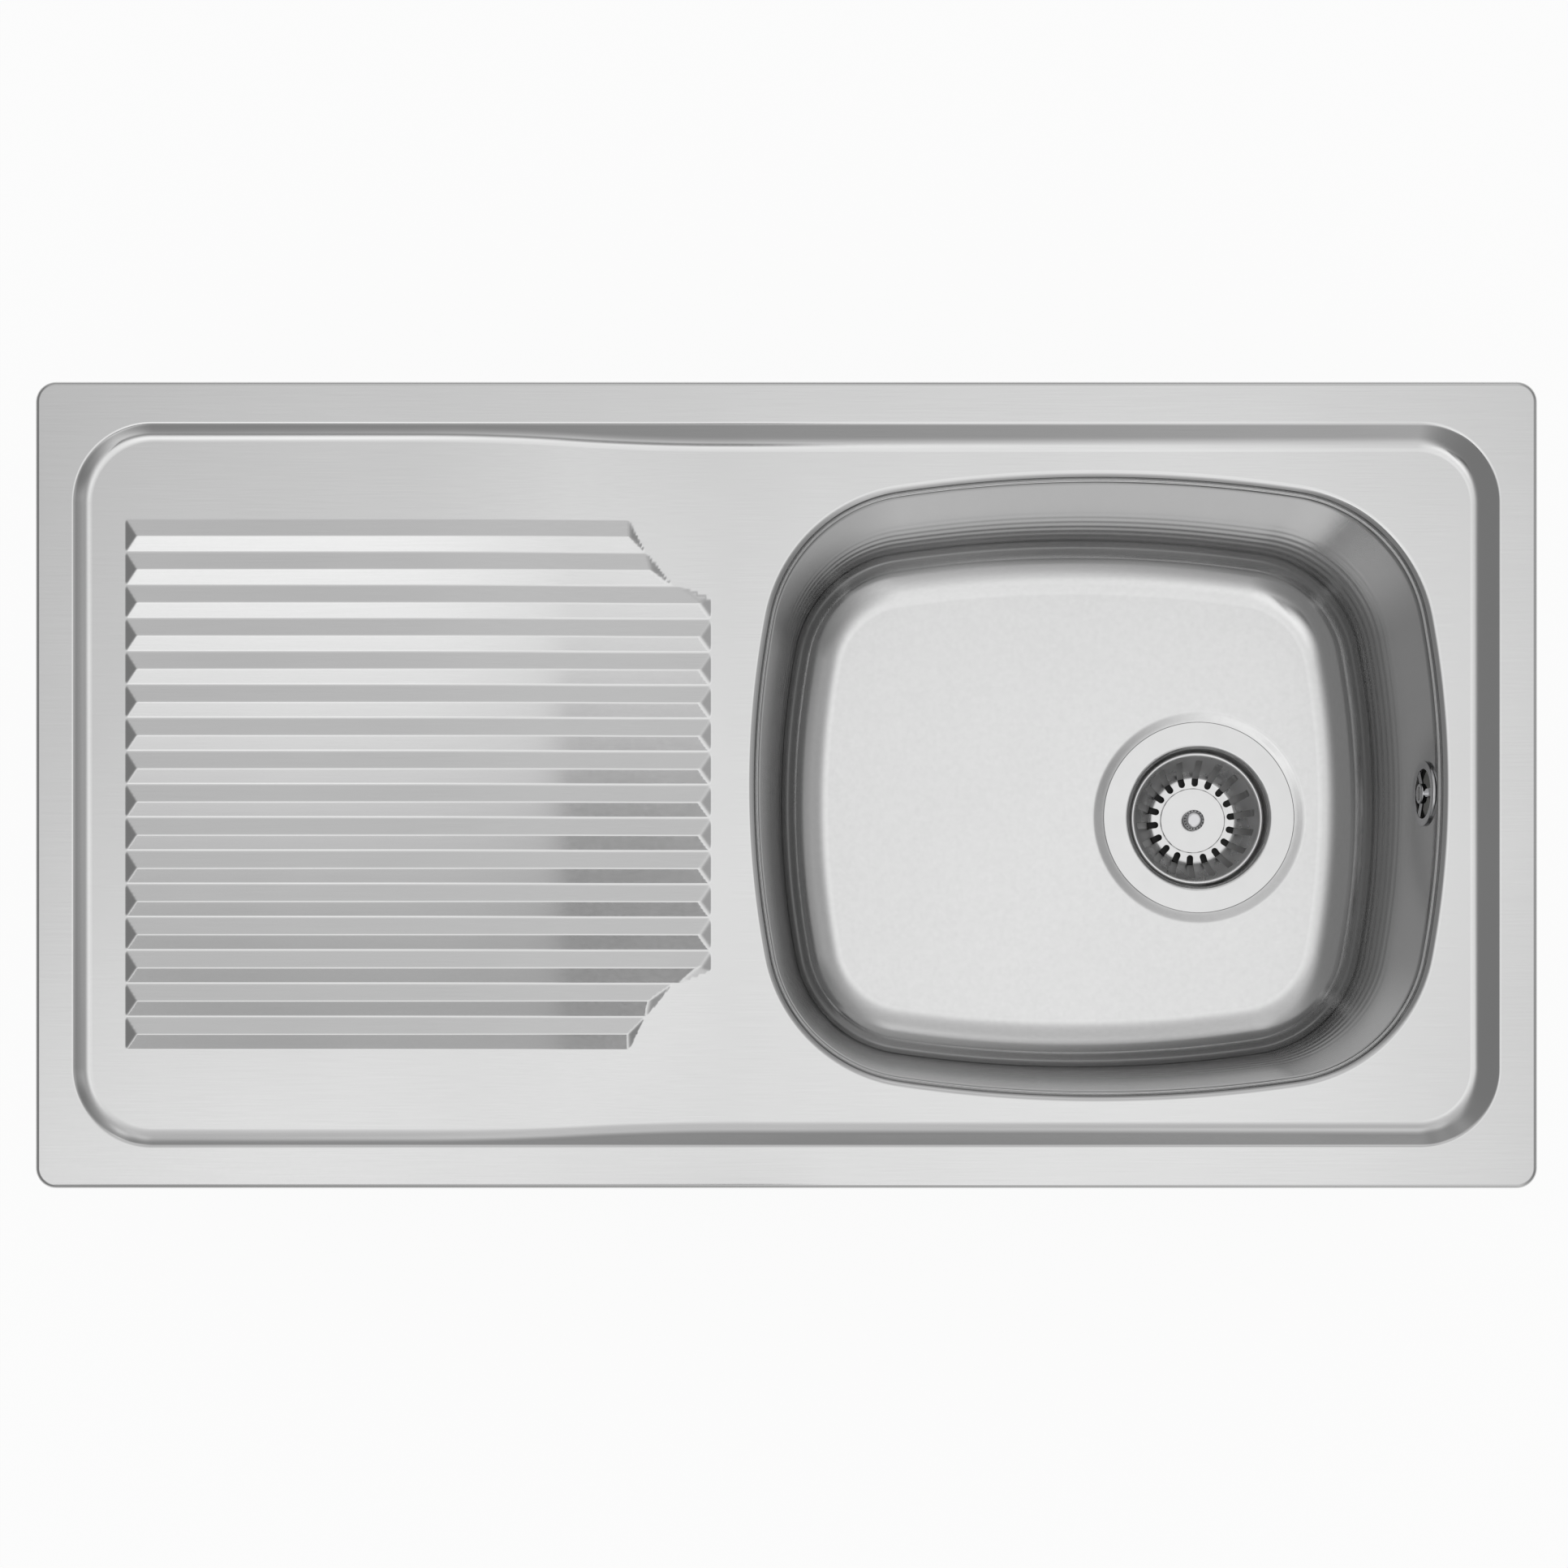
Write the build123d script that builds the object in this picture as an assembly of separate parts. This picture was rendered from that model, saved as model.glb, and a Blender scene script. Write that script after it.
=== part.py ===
from build123d import *
import math
import os

# Inset kitchen sink with a ridged drainboard on the left and one bowl on the right.
# Millimetres. +X points to the bowl's end, +Y to the back, +Z up. The origin is the centre
# of the worktop's cut-out, on the worktop's top surface.

# ---------------------------------------------------------------- worktop that it fits
WORKTOP_THICKEST = 40.0
WORKTOP_THINNEST = 28.0
CUTOUT_LAP = 10.0               # how far the rim reaches past the cut-out's edge

# ---------------------------------------------------------------- deck sheet
SHEET = 0.8                     # stainless sheet of the deck and the bowl
DECK_LENGTH = 810.0
DECK_WIDTH = 435.0
DECK_CORNER = 11.0
RIM_HEIGHT = 4.0                # top of the rim above the worktop
RIM_EDGE_ROUND = 2.5            # fold of the outer edge
RIM_EDGE_GAP = 0.4              # the folded edge ends this far above the worktop
RIM_END_WIDTH = 21.0            # flat rim at the left and right ends
RIM_SIDE_WIDTH = 23.0           # flat rim along the front and back
RECESS_CORNER = 42.0
STEP_ANGLE = 45.0               # slope of the step from the rim down to the deck
STEP_TOP_ROUND = 3.0
STEP_FOOT_ROUND = 11.0
DRAINBOARD_DROP = 4.5           # drainboard below the rim
BOWL_DECK_DROP = 9.0            # deck around the bowl below the rim
FALL_LENGTH = 170.0             # the drainboard's fall from one level to the other
FALL_TO_BOWL = 9.0              # flat left between the fall and the rolled bowl edge

# ---------------------------------------------------------------- drainboard ridges
RIDGE_COUNT = 16
RIDGE_PITCH = 17.94
RIDGE_HEIGHT = 1.62
RIDGE_VALLEY = -0.09            # height of the valleys, just under the deck's flat surface
RIDGES_SHIFT = 0.6              # the ridges' middle lies this far behind the sink's
RIDGE_ROOT = 1.0                # how deep the ridges reach into the deck's solid
RIDGE_PEAK_ROUND = 3.0
RIDGE_PEAK_SHIFT = -0.45        # a ridge's peak lies this far behind its middle
RIDGE_HIP = 5.7                 # length of a ridge's sloping end
RIDGE_SKEW_HIP = 3.7            # and of the skewed ends of the outermost ridges
RIDGE_LEFT_GAP = 27.0           # from the recess's left edge to the ridges
RIDGE_RIGHT_GAP = 24.3          # from the bowl's left edge to the ridges
# The three outermost ridges on each side stop short, on a skewed foot line. Each pair is
# the setback of the foot at the ridge's outer and inner valley.
RIDGE_SETBACKS = [(44.5, 35.5), (35.1, 20.6), (16.7, -25.4)]

# ---------------------------------------------------------------- bowl
BOWL_HALF_LENGTH = 186.0
BOWL_END_LAND = 28.5            # from the recess's right edge to the bowl
BOWL_SIDE_LAND = 27.5           # from the recess's front and back edges to the bowl
BOWL_END_BOW = 500.0            # radius of the bowed left and right sides
BOWL_SIDE_BOW = 735.0           # radius of the bowed front and back sides
BOWL_CORNER = 83.0
BOWL_EDGE_ROUND = 4.4           # the deck's rolled edge round the bowl opening
BOWL_LIP = 0.5                  # straight end of the rolled edge
BOWL_LEDGE = 1.6                # narrow ledge where the bowl meets the rolled edge
BOWL_LEDGE_ROUND = 1.0
BOWL_DEPTH = 155.0              # from the rim's top to the bowl's floor
WALL_DRAFT = 6.0
FLOOR_ROUND = 28.0

# ---------------------------------------------------------------- waste in the bowl's floor
DRAIN_TO_END = 111.5            # from the drain's centre to the bowl's right end
DRAIN_Y = -6.0
DRAIN_BORE = 90.0               # hole in the floor
DRAIN_SINK = 2.2                # depth of the shallow recess for the flange
DRAIN_SINK_CLEAR = 0.7          # from the flange's edge to the recess's floor edge
DRAIN_SINK_SLOPE = 3.5          # width of the recess's sloping side
FLANGE_DIAMETER = 113.0
FLANGE_SHEET = 1.0
FLANGE_MOUTH_ROUND = 2.4        # rounded edge from the flange into its cup
CUP_BORE = 82.0
CUP_DEPTH = 40.0                # from the flange's top to the cup's floor
CUP_CORNER = 4.0
CUP_HOLES = 6
CUP_HOLE_DIAMETER = 10.5
CUP_HOLE_PITCH_DIAMETER = 29.0
FLANGE_GASKET = 0.8
LOWER_GASKET = 2.5

POST_DIAMETER = 10.0            # centre post that screws the flange to the body
POST_BORE = 6.4
POST_HEAD = 14.0                # across flats
POST_HEAD_HEIGHT = 3.0
POST_LENGTH = 20.0

BODY_WALL = 3.0
BODY_BORE = 89.0
BODY_RIM_DIAMETER = 108.0
BODY_RIM_THICKNESS = 3.0
BODY_DEPTH = 41.0               # straight part below the body's rim
BODY_CONE = 17.0
OUTLET_THREAD = 47.803          # outside diameter of the G 1 1/2 outlet thread
OUTLET_BORE = 41.0
OUTLET_LENGTH = 28.0
THREAD_LENGTH = 14.0            # threaded length at the outlet's end
THREAD_RELIEF = 0.9             # the plain part above the thread is thinner by this
HUB_DIAMETER = 18.0
HUB_LENGTH = 17.0
HUB_RIBS = 3
HUB_RIB = 3.0
HUB_RIB_GAP = 1.0               # between the ribs and the cup above them
SPIGOT_DIAMETER = 17.0
SPIGOT_BORE = 13.0
SPIGOT_LENGTH = 22.0
SPIGOT_DROP = 22.0              # from the body's rim down to the spigot's axis

# ---------------------------------------------------------------- strainer
BASKET_DROP = 8.2               # basket rim below the flange's top
BASKET_RIM_DIAMETER = 79.5
BASKET_RIM_ROUND = 1.6          # half thickness of the rolled rim
BASKET_WALL_TOP = 36.9          # radius of the basket's wall at the rim
BASKET_FLOOR_RADIUS = 26.0
BASKET_DEPTH = 20.0
BASKET_SHEET = 1.0
BASKET_CORNER = 3.0
SLOT_COUNT = 18
SLOT_WIDTH = 3.9
SLOT_INNER = 20.6               # radius where the slots begin
SLOT_OUTER = 35.0               # radius where the slots end, up the wall
SLOT_TURN = 6.4                 # angle of the first slot from +X
CAP_DIAMETER = 38.8
CAP_THICKNESS = 1.4
CAP_ROUND = 0.6
KNOB_DIAMETER = 12.4
KNOB_HEIGHT = 8.0
KNOB_HEAD_HEIGHT = 4.4
KNOB_NECK = 7.0
KNOB_ROUND = 3.2                # domed edge of the knob's top
KNOB_UNDER_ROUND = 0.8
KNOB_NECK_ROUND = 0.4
STEM_DIAMETER = 6.0
STEM_IN_KNOB = 4.0              # how far the stem screws into the knob
STEM_FLANGE = 10.0
STEM_FLANGE_THICKNESS = 1.6
STEM_GUIDE = 5.8                # part of the stem inside the post's bore
STEM_TAIL = 4.0                 # thin lower end that turns in the catch bush
STEM_TAIL_HEAD = 5.6
STEM_TAIL_HEAD_HEIGHT = 1.6
SEAL_DIAMETER = 52.0
SEAL_BORE = 22.0
SEAL_THICKNESS = 5.5
SEAL_GAP = 0.3                  # seal above the cup's floor with the strainer at rest
WASHER_DIAMETER = 36.0
WASHER_THICKNESS = 1.2
STRAINER_NUT = 10.0             # across flats
BUSH_LENGTH = 9.0
BUSH_DROP = 4.0                 # from the post's top to the bush
BUSH_END_GAP = 0.1
RUNNING_FIT = 0.05              # radial clearance of what turns or slides

# ---------------------------------------------------------------- overflow
OVERFLOW_Y = -2.0
OVERFLOW_DROP = 34.5            # rosette's centre below the rim's top
OVERFLOW_PAD = 37.5             # flat pressed in the wall round the overflow
OVERFLOW_PAD_PROUD = 0.25
OVERFLOW_BORE = 27.0
ROSETTE_DIAMETER = 36.0
ROSETTE_THICKNESS = 1.4
ROSETTE_ROUND = 0.6
ROSETTE_OPENING = 13.6          # outer radius of the three openings
ROSETTE_HUB = 5.6
ROSETTE_HUB_HEIGHT = 3.4
ROSETTE_ARMS = 3
ROSETTE_ARM = 4.4
ROSETTE_ARM_BACK = 0.4          # the arms stand clear of the wall by this
ROSETTE_ARM_FRONT = 1.2
OVERFLOW_SCREW = 4.0
OVERFLOW_SCREW_HEAD = 7.4
OVERFLOW_SCREW_HEAD_HEIGHT = 2.0
OVERFLOW_SCREW_SLOT = 1.2
OVERFLOW_SCREW_SLOT_DEPTH = 0.9
OVERFLOW_GASKET = 2.0
GASKET_BORE = 28.5
HEAD_DIAMETER = 36.0
HEAD_WALL = 2.4
HEAD_DEPTH = 18.5
HEAD_BOSS = 8.0
HEAD_SPIGOT_LENGTH = 38.0       # from the head's centre to the spigot's end
HEAD_SPIGOT_OUT = 12.5          # spigot's axis behind the wall
HOSE_WALL = 1.2
HOSE_RIB = 2.0                  # height of a rib above the hose's wall
HOSE_PITCH = 4.4
HOSE_RIB_FOOT = 3.34            # a rib's length along the hose at its foot
HOSE_RIB_TOP = 1.5              # and at its crest
HOSE_CUFF = 16.0                # plain end that slips over a spigot
HOSE_CUFF_WALL = 2.0
HOSE_LAP = 15.0                 # how far a cuff reaches over its spigot
HOSE_LAND = 3.5                 # straight hose between the lower cuff and the bend
CLAMP_WIDTH = 9.0
CLAMP_BAND = 0.9
CLAMP_HOUSING_LENGTH = 12.0
CLAMP_HOUSING_HEIGHT = 5.0

# ---------------------------------------------------------------- seal, pad and earth tag
EDGE_SEAL_SETBACK = 2.8         # from the deck's outer edge to the seal
SOUND_PAD_LENGTH = 118.0
SOUND_PAD_WIDTH = 190.0
SOUND_PAD_THICKNESS = 2.0
SOUND_PAD_CORNER = 14.0
SOUND_PAD_TO_DRAIN = 74.0       # from the drain's centre to the pad
EARTH_TO_FALL = 7.1             # from the tag to where the drainboard starts to fall
EARTH_TO_RIDGES = 12.0          # from the ridges' side to the tag's foot
EARTH_TAG_WIDTH = 16.0
EARTH_TAG_THICKNESS = 1.2
EARTH_TAG_FOOT = 12.0
EARTH_TAG_DROP = 20.0
EARTH_SCREW = 5.0
EARTH_SCREW_LENGTH = 14.0
EARTH_SCREW_HEAD = 9.0
EARTH_SCREW_HEAD_HEIGHT = 3.2
EARTH_NUT = 8.0                 # across flats
EARTH_NUT_HEIGHT = 4.0

# ---------------------------------------------------------------- worktop clips
CLIP_FROM_END = 135.0           # from the sink's ends to the outer clips at the front and back
ANCHOR_SHEET = 1.2
ANCHOR_WIDTH = 22.0
ANCHOR_FOOT = 8.0
ANCHOR_SETBACK = 1.0            # from the cut-out's edge to the anchor's foot
ANCHOR_DROP = 16.0
ANCHOR_WINDOW_WIDTH = 12.0
ANCHOR_WINDOW_HEIGHT = 4.0
ANCHOR_WINDOW_DROP = 9.0        # from the rim's underside to the window's top
CLIP_SHEET = 1.5
CLIP_WIDTH = 16.0
CLIP_GAP = 0.2                  # between the clip and its anchor
CLIP_TOP_DROP = 4.0             # from the rim's underside to the clip's top
HOOK_WIDTH = 10.0
HOOK_REACH = 3.0
HOOK_LIP = 6.0
SCREW_REACH = 4.8               # screw's axis past the cut-out's edge
ARM_PAST_SCREW = 4.8
PAD_DIAMETER = 9.2
PAD_THICKNESS = 4.0
PAD_EDGE_ROUND = 0.5
PAD_TO_ARM = 2.0                # left between the lowered pad and the clip's arm
CLIP_SCREW = 5.0
CLIP_SCREW_NECK = 3.0
CLIP_SCREW_SHOULDER_GAP = 0.2   # from the pad's underside to the screw's thread
CLIP_SCREW_TIP = 4.4
CLIP_SCREW_TIP_HEIGHT = 1.2
CLIP_SCREW_HEAD = 8.0           # across flats
CLIP_SCREW_HEAD_HEIGHT = 4.0
CLIP_SCREW_SPARE = 2.0          # thread left below the arm with the pad fully up
CLIP_SCREW_SLOT = 1.2

# ---------------------------------------------------------------- places worked out from these
RIM_UNDER = RIM_HEIGHT - SHEET
DRAINBOARD_Z = RIM_HEIGHT - DRAINBOARD_DROP
BOWL_DECK_Z = RIM_HEIGHT - BOWL_DECK_DROP
RECESS_LENGTH = DECK_LENGTH - 2 * RIM_END_WIDTH
RECESS_WIDTH = DECK_WIDTH - 2 * RIM_SIDE_WIDTH
BOWL_HALF_WIDTH = RECESS_WIDTH / 2 - BOWL_SIDE_LAND
BOWL_X = RECESS_LENGTH / 2 - BOWL_END_LAND - BOWL_HALF_LENGTH
BOWL_LEFT = BOWL_X - BOWL_HALF_LENGTH
FALL_END = BOWL_LEFT - BOWL_EDGE_ROUND - FALL_TO_BOWL
FALL_START = FALL_END - FALL_LENGTH
LIP_END = BOWL_DECK_Z - BOWL_EDGE_ROUND - BOWL_LIP
FLOOR_Z = RIM_HEIGHT - BOWL_DEPTH
RIDGE_START = -RECESS_LENGTH / 2 + RIDGE_LEFT_GAP
RIDGE_END = BOWL_LEFT - RIDGE_RIGHT_GAP
CUTOUT_LENGTH = DECK_LENGTH - 2 * CUTOUT_LAP
CUTOUT_WIDTH = DECK_WIDTH - 2 * CUTOUT_LAP

RIDGES_HALF_WIDTH = RIDGE_COUNT * RIDGE_PITCH / 2

DRAIN_X = BOWL_X + BOWL_HALF_LENGTH - DRAIN_TO_END
SINK_FLOOR_Z = FLOOR_Z - DRAIN_SINK
FLANGE_TOP = SINK_FLOOR_Z + FLANGE_GASKET + FLANGE_SHEET
CUP_FLOOR = FLANGE_TOP - CUP_DEPTH
CUP_UNDER = CUP_FLOOR - FLANGE_SHEET
BODY_TOP = SINK_FLOOR_Z - SHEET - LOWER_GASKET
BODY_CONE_TOP = BODY_TOP - BODY_DEPTH
BODY_CONE_END = BODY_CONE_TOP - BODY_CONE
OUTLET_END = BODY_CONE_END - OUTLET_LENGTH
SPIGOT_Z = BODY_TOP - SPIGOT_DROP
BASKET_TOP = FLANGE_TOP - BASKET_DROP
BASKET_FLOOR = BASKET_TOP - BASKET_DEPTH
BASKET_UNDER = BASKET_FLOOR - BASKET_SHEET
CAP_TOP = BASKET_FLOOR + CAP_THICKNESS
POST_TOP = CUP_FLOOR + POST_HEAD_HEIGHT
SEAL_UNDER = CUP_FLOOR + SEAL_GAP
SEAL_TOP = SEAL_UNDER + SEAL_THICKNESS
WASHER_TOP = SEAL_TOP + WASHER_THICKNESS
BUSH_TOP = POST_TOP - BUSH_DROP
BUSH_END = BUSH_TOP - BUSH_LENGTH

PAD_LOW_TOP = -WORKTOP_THICKEST
PAD_LOW_UNDER = PAD_LOW_TOP - PAD_THICKNESS
CLIP_TRAVEL = WORKTOP_THICKEST - WORKTOP_THINNEST
CLIP_SIDE_X = DECK_LENGTH / 2 - CLIP_FROM_END
EARTH_X = FALL_START - EARTH_TO_FALL - EARTH_TAG_WIDTH / 2
ARM_TOP = PAD_LOW_UNDER - PAD_TO_ARM
ARM_UNDER = ARM_TOP - CLIP_SHEET

FAR = 30.0                      # how far a cutting solid reaches past what it cuts


# ---------------------------------------------------------------- shared shapes
def turned(points, rounds=None):
    """A solid turned about Z from a closed outline of (radius, height) points.

    rounds gives a corner's radius by the point's place in the list.
    """
    radii = [(rounds or {}).get(place, 0.0) for place in range(len(points))]
    outline = make_face(FilletPolyline(*points, radius=radii, close=True))
    return revolve(Plane.XZ * outline, Axis.Z)


def tube(outer, inner, bottom, top):
    """A straight tube about Z, given by its diameters."""
    ring = Circle(outer / 2) - Circle(inner / 2)
    return extrude(Pos(0, 0, bottom) * ring, top - bottom)


def rod(diameter, bottom, top):
    """A straight round bar about Z."""
    return extrude(Pos(0, 0, bottom) * Circle(diameter / 2), top - bottom)


def hex_bar(across_flats, bottom, top):
    """A hexagonal bar about Z."""
    hexagon = RegularPolygon(across_flats / 2, 6, major_radius=False)
    return extrude(Pos(0, 0, bottom) * hexagon, top - bottom)


def block(x0, x1, y0, y1, z0, z1):
    """A box given by its six sides."""
    return Pos((x0 + x1) / 2, (y0 + y1) / 2, (z0 + z1) / 2) * Box(x1 - x0, y1 - y0, z1 - z0)


def plate(length, width, corner, bottom, top):
    """A plate with rounded corners, centred on the origin."""
    return extrude(Pos(0, 0, bottom) * RectangleRounded(length, width, corner), top - bottom)


def bowl_outline(inset, z):
    """The bowl's outline, a rectangle with bowed sides, drawn in by inset."""
    corner = BOWL_CORNER - inset
    end_centre = Vector(BOWL_HALF_LENGTH - BOWL_END_BOW, 0)
    side_centre = Vector(0, BOWL_HALF_WIDTH - BOWL_SIDE_BOW)
    # The corner's centre is where two circles meet, each inside its bowed side.
    end_reach = BOWL_END_BOW - BOWL_CORNER
    side_reach = BOWL_SIDE_BOW - BOWL_CORNER
    between = side_centre - end_centre
    along = (end_reach**2 - side_reach**2 + between.length**2) / (2 * between.length)
    across = math.sqrt(end_reach**2 - along**2)
    unit = between.normalized()
    corner_centre = end_centre + unit * along + Vector(unit.Y, -unit.X) * across
    if corner_centre.X < 0:
        corner_centre = end_centre + unit * along - Vector(unit.Y, -unit.X) * across
    to_end = (corner_centre - end_centre).normalized()
    to_side = (corner_centre - side_centre).normalized()
    end_point = corner_centre + to_end * corner
    side_point = corner_centre + to_side * corner
    corner_point = corner_centre + (to_end + to_side).normalized() * corner
    end_middle = BOWL_HALF_LENGTH - inset
    side_middle = BOWL_HALF_WIDTH - inset

    def at(point, sign_x, sign_y):
        return (point.X * sign_x, point.Y * sign_y)

    arcs = []
    arcs.append(ThreePointArc(at(end_point, 1, -1), (end_middle, 0), at(end_point, 1, 1)))
    arcs.append(ThreePointArc(at(end_point, 1, 1), at(corner_point, 1, 1), at(side_point, 1, 1)))
    arcs.append(ThreePointArc(at(side_point, 1, 1), (0, side_middle), at(side_point, -1, 1)))
    arcs.append(ThreePointArc(at(side_point, -1, 1), at(corner_point, -1, 1), at(end_point, -1, 1)))
    arcs.append(ThreePointArc(at(end_point, -1, 1), (-end_middle, 0), at(end_point, -1, -1)))
    arcs.append(ThreePointArc(at(end_point, -1, -1), at(corner_point, -1, -1), at(side_point, -1, -1)))
    arcs.append(ThreePointArc(at(side_point, -1, -1), (0, -side_middle), at(side_point, 1, -1)))
    arcs.append(ThreePointArc(at(side_point, 1, -1), at(corner_point, 1, -1), at(end_point, 1, -1)))
    return Pos(BOWL_X, 0, z) * make_face(arcs)


def bowl_prism(inset, bottom, top):
    """A straight prism on the bowl's outline."""
    return extrude(bowl_outline(inset, bottom), top - bottom)


# ---------------------------------------------------------------- deck
def fall_profile(drop):
    """The deck's side view: high level, two equal tangent arcs, low level."""
    high = DRAINBOARD_Z - drop
    low = BOWL_DECK_Z - drop
    middle = ((FALL_START + FALL_END) / 2, (high + low) / 2)
    reach = DECK_LENGTH
    start = Line((-reach, high), (FALL_START, high))
    first = TangentArc((FALL_START, high), middle, tangent=(1, 0))
    second = TangentArc((FALL_END, low), middle, tangent=(-1, 0))
    end = Line((FALL_END, low), (reach, low))
    return start, first, second, end


def above_deck(drop):
    """Everything above the deck's surface, with the surface lowered by drop."""
    start, first, second, end = fall_profile(drop)
    top = RIM_HEIGHT + FAR
    sides = Polyline(end @ 1, ((end @ 1).X, top), ((start @ 0).X, top), start @ 0)
    outline = make_face([start, first, second, end, sides])
    return extrude(Plane.XZ * outline, DECK_WIDTH / 2, both=True)


def recess_air(outset, drop, foot_round):
    """The air over the recessed deck: sloping sides, and a rounded foot all round."""
    rise = 2.0
    depth = BOWL_DECK_DROP + drop + rise
    run = 1 / math.tan(math.radians(STEP_ANGLE))
    wide = outset + rise * run
    narrow = outset - depth * run
    upper = RectangleRounded(RECESS_LENGTH + 2 * wide, RECESS_WIDTH + 2 * wide, RECESS_CORNER + wide)
    lower = RectangleRounded(RECESS_LENGTH + 2 * narrow, RECESS_WIDTH + 2 * narrow, RECESS_CORNER + narrow)
    funnel = loft([Pos(0, 0, RIM_HEIGHT + rise) * upper, Pos(0, 0, RIM_HEIGHT - depth) * lower], ruled=True)
    air = funnel & above_deck(drop)
    seams = [FALL_START, (FALL_START + FALL_END) / 2, FALL_END]
    foot = []
    for edge in air.edges():
        middle = edge @ 0.5
        across = any(abs(middle.X - seam) < 0.01 and abs((edge @ 0).X - seam) < 0.01 for seam in seams)
        low = max((edge @ 0).Z, middle.Z, (edge @ 1).Z) < DRAINBOARD_Z - drop + 0.01
        if low and not across:
            foot.append(edge)
    return fillet(foot, foot_round)


def ridge_profile():
    """The ridges' cross-section as (across, height) over the deck: rounded teeth."""
    slope = math.atan2(RIDGE_HEIGHT - RIDGE_VALLEY, RIDGE_PITCH / 2)
    # Rounding a tooth lowers its peak, so the flanks aim a little higher.
    aim = RIDGE_HEIGHT + RIDGE_PEAK_ROUND * (1 / math.cos(slope) - 1)
    points = []
    radii = []
    for ridge in range(RIDGE_COUNT):
        valley = RIDGES_SHIFT - RIDGES_HALF_WIDTH + ridge * RIDGE_PITCH
        points += [(valley, RIDGE_VALLEY), (valley + RIDGE_PITCH / 2 + RIDGE_PEAK_SHIFT, aim)]
        radii += [0, RIDGE_PEAK_ROUND]
    back = RIDGES_SHIFT + RIDGES_HALF_WIDTH
    front = RIDGES_SHIFT - RIDGES_HALF_WIDTH
    points += [(back, RIDGE_VALLEY), (back, -RIDGE_ROOT), (front, -RIDGE_ROOT)]
    radii += [0, 0, 0]
    return make_face(FilletPolyline(*points, radius=radii, close=True))


def deck_height(x):
    """Height of the drainboard's surface at x."""
    middle = (FALL_START + FALL_END) / 2
    half_run = FALL_LENGTH / 2
    half_drop = (DRAINBOARD_Z - BOWL_DECK_Z) / 2
    radius = (half_run**2 + half_drop**2) / (2 * half_drop)
    if x <= FALL_START:
        return DRAINBOARD_Z
    if x <= middle:
        return DRAINBOARD_Z - radius + math.sqrt(radius**2 - (x - FALL_START) ** 2)
    if x < FALL_END:
        return BOWL_DECK_Z + radius - math.sqrt(radius**2 - (x - FALL_END) ** 2)
    return BOWL_DECK_Z


def hip_cutter(foot_x, foot_y, skew, outward, hip):
    """Removes what lies above a ridge's sloping end, past the given foot."""
    slope = math.degrees(math.atan2(RIDGE_HEIGHT, hip))
    size = 2.4 * RIDGES_HALF_WIDTH
    # The cutter's underside slopes down towards its foot, so only the ridge's end goes.
    cutter = Pos(0, 0, size / 2) * Box(2 * size, 2 * size, size)
    turn = skew if outward > 0 else 180 + skew
    place = Pos(foot_x, foot_y, deck_height(foot_x)) * Rot(0, 0, turn) * Rot(0, slope, 0)
    return place * cutter


def ridges():
    """All ridges as one solid that follows the drainboard's fall, with sloping ends."""
    half_run = FALL_LENGTH / 2
    half_drop = (DRAINBOARD_Z - BOWL_DECK_Z) / 2
    radius = (half_run**2 + half_drop**2) / (2 * half_drop)
    bend = math.degrees(math.asin(half_run / radius))
    profile = Plane.YZ * ridge_profile()
    flat_part = extrude(Pos(RIDGE_START, 0, DRAINBOARD_Z) * profile, FALL_START - RIDGE_START, dir=(1, 0, 0))
    crest_axis = Axis((FALL_START, 0, DRAINBOARD_Z - radius), (0, 1, 0))
    crest_part = revolve(Pos(FALL_START, 0, DRAINBOARD_Z) * profile, crest_axis, bend)
    foot_axis = Axis((FALL_END, 0, BOWL_DECK_Z + radius), (0, -1, 0))
    foot_profile = Pos(FALL_END, 0, BOWL_DECK_Z) * profile
    foot_part = revolve(foot_profile, foot_axis.reverse(), bend)
    field = flat_part + crest_part + foot_part

    field -= hip_cutter(RIDGE_START, 0, 0, -1, RIDGE_HIP)
    field -= hip_cutter(RIDGE_END, 0, 0, 1, RIDGE_HIP)
    for order, (outer, inner) in enumerate(RIDGE_SETBACKS):
        skew = math.degrees(math.atan2(outer - inner, RIDGE_PITCH))
        foot_x = RIDGE_END - (outer + inner) / 2
        to_middle = RIDGES_HALF_WIDTH - (order + 0.5) * RIDGE_PITCH
        for side in (1, -1):
            foot_y = RIDGES_SHIFT + side * to_middle
            half = RIDGE_PITCH / 2
            strip = block(-DECK_LENGTH, DECK_LENGTH, foot_y - half, foot_y + half, -FAR, FAR)
            field -= hip_cutter(foot_x, foot_y, side * skew, 1, RIDGE_SKEW_HIP) & strip
    return field


def deck_solid(drop, ridge_field):
    """The solid under the deck's surface, with every surface moved in by drop."""
    body = plate(DECK_LENGTH - 2 * drop, DECK_WIDTH - 2 * drop, DECK_CORNER - drop, -FAR - drop, RIM_HEIGHT - drop)
    top_edges = body.faces().sort_by(Axis.Z)[-1].edges()
    body = fillet(top_edges, RIM_EDGE_ROUND - drop)
    step = math.radians(STEP_ANGLE)
    outset = drop / math.sin(step) - drop / math.tan(step)
    body -= recess_air(outset, drop, STEP_FOOT_ROUND + drop)
    rim = body.faces().filter_by(Plane.XY).sort_by(Axis.Z)[-1]
    body = fillet(rim.inner_wires()[0].edges(), STEP_TOP_ROUND - drop)
    body -= bowl_prism(-drop, -2 * FAR, FAR)
    low_deck = body.faces().filter_by(Plane.XY)
    low_deck = [face for face in low_deck if abs(face.center().Z - (BOWL_DECK_Z - drop)) < 0.01][0]
    body = fillet(low_deck.inner_wires()[0].edges(), BOWL_EDGE_ROUND - drop)
    return body + Pos(0, 0, -drop) * ridge_field


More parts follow.
